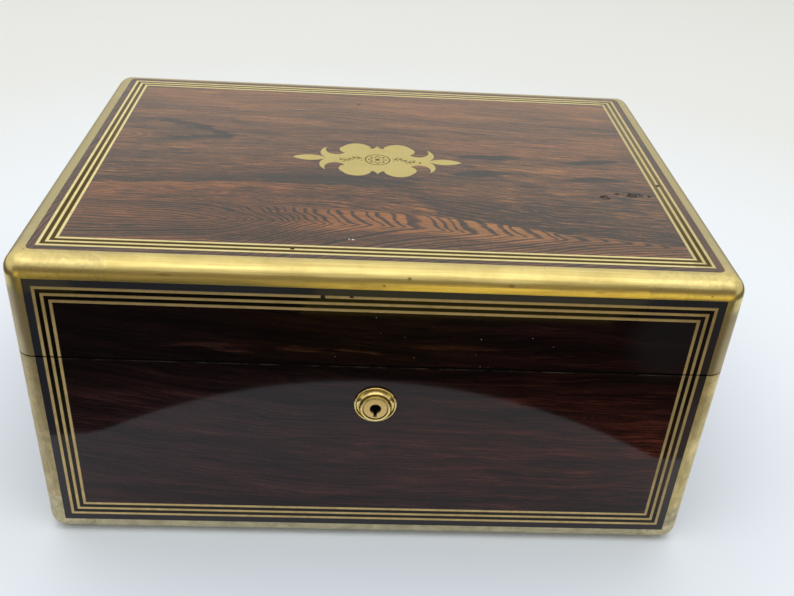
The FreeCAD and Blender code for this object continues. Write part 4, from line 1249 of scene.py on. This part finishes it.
class Studio:
    """The floor, the soft light and the camera at the photograph's place, in metres."""

    camera_at = Vector((-0.01315, -0.42073, 0.33381))
    camera_right = Vector((0.9981, -0.0272, 0.0555))
    camera_forward = Vector((0.0527, 0.8436, -0.5343))
    lens = 41.83
    # How far out the pale floor reaches in reflections, by direction in degrees.
    pale_edge = (
        (-270, 0.40), (-160, 0.40), (-138, 0.255), (-129, 0.230), (-46, 0.230), (-38, 0.29), (-30, 0.45), (90, 0.40),
    )

    def camera(self) -> None:
        """Puts the camera where the photograph was taken."""
        data = bpy.data.cameras.new("camera")
        data.lens, data.sensor_width, data.sensor_fit = self.lens, 36.0, "HORIZONTAL"
        data.clip_start, data.clip_end = 0.01, 50.0
        made = bpy.data.objects.new("camera", data)
        bpy.context.scene.collection.objects.link(made)
        back = -self.camera_forward.normalized()
        right = (self.camera_right - back * self.camera_right.dot(back)).normalized()
        turned = Matrix((right, back.cross(right), back)).transposed().to_4x4()
        made.matrix_world = Matrix.Translation(self.camera_at) @ turned
        bpy.context.scene.camera = made

    def _put(self, name: str, points: np.ndarray, faces: np.ndarray, finish: Finish) -> bpy.types.Object:
        """Adds a sheet that isn't part of the box.

        Args:
            name: its name.
            points: its vertices, as form takes them.
            faces: its faces, as form takes them.
            finish: what it is covered with.

        Returns:
            The sheet.
        """
        made = form(name, points, faces, finish)
        return made

    def floor(self) -> None:
        """One pale level sheet, a little bluer under the box than far out."""
        far, sunk = 8.0, -0.0004
        points = np.array([(-far, -far, sunk), (far, -far, sunk), (far, far, sunk), (-far, far, sunk)])
        finish = Plain("pale_floor", rings=(
            (0.0, (0.73, 0.80, 0.90)), (0.08, (0.77, 0.815, 0.88)), (0.15, (0.74, 0.755, 0.755)),
            (0.30, (0.77, 0.78, 0.765)), (0.75, (0.95, 0.945, 0.905)),
        ))
        self._put("floor", points, np.array([[0, 1, 2, 3]]), finish)

    def cards(self) -> None:
        """Cards that only polish and brass mirror: the darker room past the pale floor."""
        turn = np.radians(np.linspace(-270.0, 90.0, 145))
        arc = np.stack([np.cos(turn), np.sin(turn), np.zeros_like(turn)], 1)
        edge = np.interp(np.degrees(turn), *zip(*self.pale_edge))[:, None]
        k = np.arange(len(turn) - 1)
        near, far = Plain("room_near", colour=(0.045, 0.042, 0.040)), Plain("room_far", colour=(0.16, 0.13, 0.09))
        warm = Plain("room_warm", colour=(0.98, 0.80, 0.26))
        low = Plain("room_warm_low", colour=(0.50, 0.40, 0.10))
        made = []
        for name, inner, outer, finish in (("arc_near", edge, 0.7, near), ("arc_far", 0.7, 4.0, far)):
            points = np.concatenate([arc * inner, arc * outer]) + (0.0, 0.0, 0.0002)
            faces = np.stack([k, k + len(turn), k + len(turn) + 1, k + 1], 1)
            made.append(self._put(name, points, faces, finish))
        upright = [(-1.3, -1.0, 0.14), (1.3, -1.0, 0.14), (1.3, -1.0, 0.78), (-1.3, -1.0, 0.78)]
        made.append(self._put("room_front", np.array(upright), np.array([[0, 1, 2, 3]]), far))
        for name, finish, *corners in (
            ("warm_right", warm, (-0.03, -0.46), (0.42, -0.46), (3.0, -2.6), (-0.1, -2.6)),
            ("warm_near", low, (0.0, -0.415), (-0.045, -0.300), (0.16, -0.300), (0.30, -0.415)),
            ("warm_near_left", low, (-0.40, -0.415), (-0.26, -0.315), (-0.19, -0.315), (-0.27, -0.415)),
            ("warm_left", warm, (-0.52, -0.46), (-0.30, -0.46), (-0.9, -2.6), (-2.3, -2.6)),
        ):
            points = np.column_stack([corners, np.full(4, 0.001)])
            made.append(self._put(name, points, np.array([[0, 1, 2, 3]]), finish))
        for card in made:
            card.visible_camera = card.visible_diffuse = card.visible_shadow = card.visible_transmission = False

    def light(self) -> None:
        """A pale sky all round, a wide soft lamp above the front and two overhead."""
        world = bpy.data.worlds.new("studio")
        world.use_nodes = True
        sky = world.node_tree.nodes["Background"].inputs
        sky["Color"].default_value, sky["Strength"].default_value = (0.74, 0.73, 0.69, 1.0), 1.0
        bpy.context.scene.world = world
        self._lamp("front_strip", (0.0, -0.50, 1.25), (0.0, -0.1, 0.14), (2.0, 0.56), 2.9)
        self._lamp("overhead", (0.0, 0.1, 1.6), (0.0, 0.0, 0.0), (2.0, 2.0), 14.0).visible_glossy = False
        self._lamp("ceiling", (0.0, 0.45, 1.6), (0.0, 0.45, 0.0), (3.0, 1.2), 3.0).visible_diffuse = False

    @staticmethod
    def _lamp(
        name: str, at: Sequence[float], to: Sequence[float], size: tuple[float, float], watts: float,
    ) -> bpy.types.Object:
        """A rectangular soft lamp aimed at a point.

        Args:
            name: the lamp's name.
            at: where it hangs.
            to: what it points to.
            size: its two sides.
            watts: its strength.

        Returns:
            The lamp.
        """
        data = bpy.data.lights.new(name, "AREA")
        data.shape = "RECTANGLE"
        (data.size, data.size_y), data.energy = size, watts
        made = bpy.data.objects.new(name, data)
        made.location = at
        made.rotation_mode = "QUATERNION"
        made.rotation_quaternion = (Vector(to) - Vector(at)).to_track_quat("-Z", "Y")
        bpy.context.scene.collection.objects.link(made)
        return made


@dataclass
class Joinery:
    """The CAD pieces that keep their own shape and take a better finish."""

    palette: Palette
    named: dict[str, str] = field(default_factory=lambda: {
        "base_rim_facings": "rim", "lid_rim_facings": "rim", "lid_top_stringing": "lid_string_top",
        "lid_front_stringing": "string_front", "base_front_stringing": "string_front",
        "lid_cartouche": "cartouche", "lid_brass_strips": "edging", "base_brass_strips": "foot",
        "lid_brass_corners": "corner", "base_brass_corners": "foot_corner", "base_brass_uprights": "upright",
        "lock_escutcheon": "lock", "lock_cylinder": "cylinder", "lock_bolt": "steel", "hinge_pins": "steel",
        "base_baize": "baize",
    })
    veneers: dict[str, str] = field(default_factory=lambda: {"left": "side", "right": "side"})
    boards: dict[str, str] = field(default_factory=lambda: {
        "left": "board_side", "right": "board_side", "top": "board_flat", "bottom": "board_flat",
    })

    def finish_for(self, name: str) -> Finish:
        """The finish of a CAD node; what no name claims is a brass fitting.

        Args:
            name: the node's name, whose second word is the side that it lies on.

        Returns:
            The finish.
        """
        chosen = self.named.get(name, "fitting")
        side = name.split("_")[1]
        if name.endswith("_veneer"):
            chosen = self.veneers.get(side, side)
        elif name.endswith("_board"):
            chosen = self.boards.get(side, "board")
        return getattr(self.palette, chosen)

    def dress(self) -> None:
        """Gives each CAD node its finish."""
        for name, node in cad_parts.items():
            finish = self.finish_for(name)
            node.data.materials.clear()
            node.data.materials.append(finish.make())
            log.info("%s: %s", name, finish.name)


@dataclass
class Upholstery:
    """Velvet on the walls and floor, buttoned satin in the lid, baize below."""

    palette: Palette

    def line(self) -> None:
        """Makes every soft piece and lets it stand for its CAD solid."""
        for body in ("base", "lid"):
            for wall, axis in (("front", 1), ("back", 1), ("left", 0), ("right", 0)):
                node = f"{body}_{wall}_lining"
                panel = Cushion(*self._corners(node), axis)
                self._pad(panel, node, f"{body}_{wall}_velvet", body, "velvet")
        floor = Cushion(*self._corners("base_floor_pad"), edge=4.5, crown=0.6, drawn=1.2, steps=(140, 100))
        self._pad(floor, "base_floor_pad", "floor_cushion", "base", "velvet")
        lid = ButtonedCushion(*self._corners("lid_pad"), edge=6.0, drawn=1.0, steps=(250, 190), faces_up=False)
        self._pad(lid, "lid_pad", "lid_cushion", "lid", "satin")
        self._baize()

    @staticmethod
    def _corners(node: str) -> tuple[np.ndarray, np.ndarray]:
        """The low and high corner of a CAD node."""
        return tuple(np.array(corner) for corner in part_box(node))

    def _pad(self, pad: Cushion, node: str, name: str, body: str, stuff: str) -> None:
        """Makes one padded piece.

        Args:
            pad: its form.
            node: the CAD node that it stands for.
            name: the piece's name.
            body: the CAD body that it moves with.
            stuff: its finish in the palette.
        """
        made = build(name, pad.points(), shell_faces(*pad.steps), getattr(self.palette, stuff), body)
        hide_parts(node)

    def _baize(self) -> None:
        """The baize glued flat under the base, one sheet with square edges."""
        low, high = self._corners("base_baize")
        steps = (48, 34)
        a, b = np.meshgrid(*(np.linspace(low[axis], high[axis], steps[axis]) for axis in (0, 1)), indexing="ij")
        points = np.concatenate([np.stack([a, b, np.full_like(a, z)], 2).reshape(-1, 3) for z in (high[2], low[2])])
        finish = self.palette.baize
        made = build("underside_baize", points, slab_faces(*steps), finish, "base", smooth=False)
        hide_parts("base_baize")


@dataclass
class LockRing:
    """The turned ring round the lock, as one lathe form about the lock's axis.

    Lengths in millimetres; heights are back from the ring's front.
    """

    palette: Palette
    nose: float = -112.5
    radius: float = 9.2
    height: float = 4.0
    shoulder: float = 3.3
    bead: float = 0.8
    groove: tuple[float, float] = (0.25, 0.4)
    nose_radius: float = 6.5
    nose_round: float = 0.3
    nose_depth: float = 0.9
    cove_sag: float = 0.45
    mouth: float = 5.44
    step: float = 2.35
    bore: float = 4.85
    spigot: float = 6.3
    around: int = 160
    crisp_turn: float = 0.6

    def profile(self, depth: float) -> np.ndarray:
        """The closed outline, going outwards over the face.

        The bead is a half circle and the cove a parabola that sags from its chord.

        Args:
            depth: how far back the ring goes.

        Returns:
            (radius, back) rows.
        """
        half_bead, inside = self.bead / 2, self.radius - self.bead
        foot, sunk = inside - self.groove[0], self.shoulder + self.groove[1]
        edge = np.linspace(0.0, math.pi / 2, 6)[:, None]
        corner = (self.nose_radius, 0.0) + self.nose_round * np.hstack([np.sin(edge) - 1, 1 - np.cos(edge)])
        t = np.linspace(0.0, 1.0, 15)[:, None]
        start = np.array([self.nose_radius, self.nose_depth])
        chord = np.array([foot, self.shoulder]) - start
        across = np.array([-chord[1], chord[0]]) / np.hypot(*chord)
        cove = start + chord * t + across * self.cove_sag * 4.0 * t * (1.0 - t)
        turn = np.linspace(math.pi, 0.0, 15)[:, None]
        bead = (self.radius - half_bead, self.shoulder) + half_bead * np.hstack([np.cos(turn), -np.sin(turn)])
        back = [
            (self.radius, self.height), (self.spigot, self.height), (self.spigot, depth), (self.bore, depth),
            (self.bore, self.step), (self.mouth, self.step), (self.mouth, 0.0),
        ]
        return np.concatenate([corner, cove, [(foot, sunk), (inside, sunk)], bead, back])

    def turn(self) -> None:
        """Makes the ring and lets it stand for its CAD solid."""
        low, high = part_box("lock_escutcheon")
        out, back = self.profile((high[1] - low[1]) / MM).T
        angle = np.linspace(0.0, 2.0 * math.pi, self.around, endpoint=False)[:, None]
        rows = (out * np.cos(angle), back + self.nose + 0 * angle, out * np.sin(angle) + LOCK_Z)
        points = np.stack(rows, 2).reshape(-1, 3) * MM
        grid = np.arange(self.around * len(out)).reshape(self.around, -1)
        grid = np.pad(grid, ((0, 1), (0, 1)), mode="wrap")
        made = build("lock_ring", points, quads(grid)[:, ::-1], self.palette.lock, "base")
        made.data.set_sharp_from_angle(angle=self.crisp_turn)
        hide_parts("lock_escutcheon")


def main() -> None:
    """Builds the studio, dresses the CAD pieces and adds the soft ones."""
    logging.basicConfig(level=logging.INFO, format="%(name)s %(message)s")
    bpy.context.scene.view_settings.view_transform = "Standard"
    studio = Studio()
    studio.camera()
    studio.floor()
    studio.cards()
    studio.light()
    palette = Palette()
    Joinery(palette).dress()
    Upholstery(palette).line()
    LockRing(palette).turn()


if __name__ == "__main__":
    main()
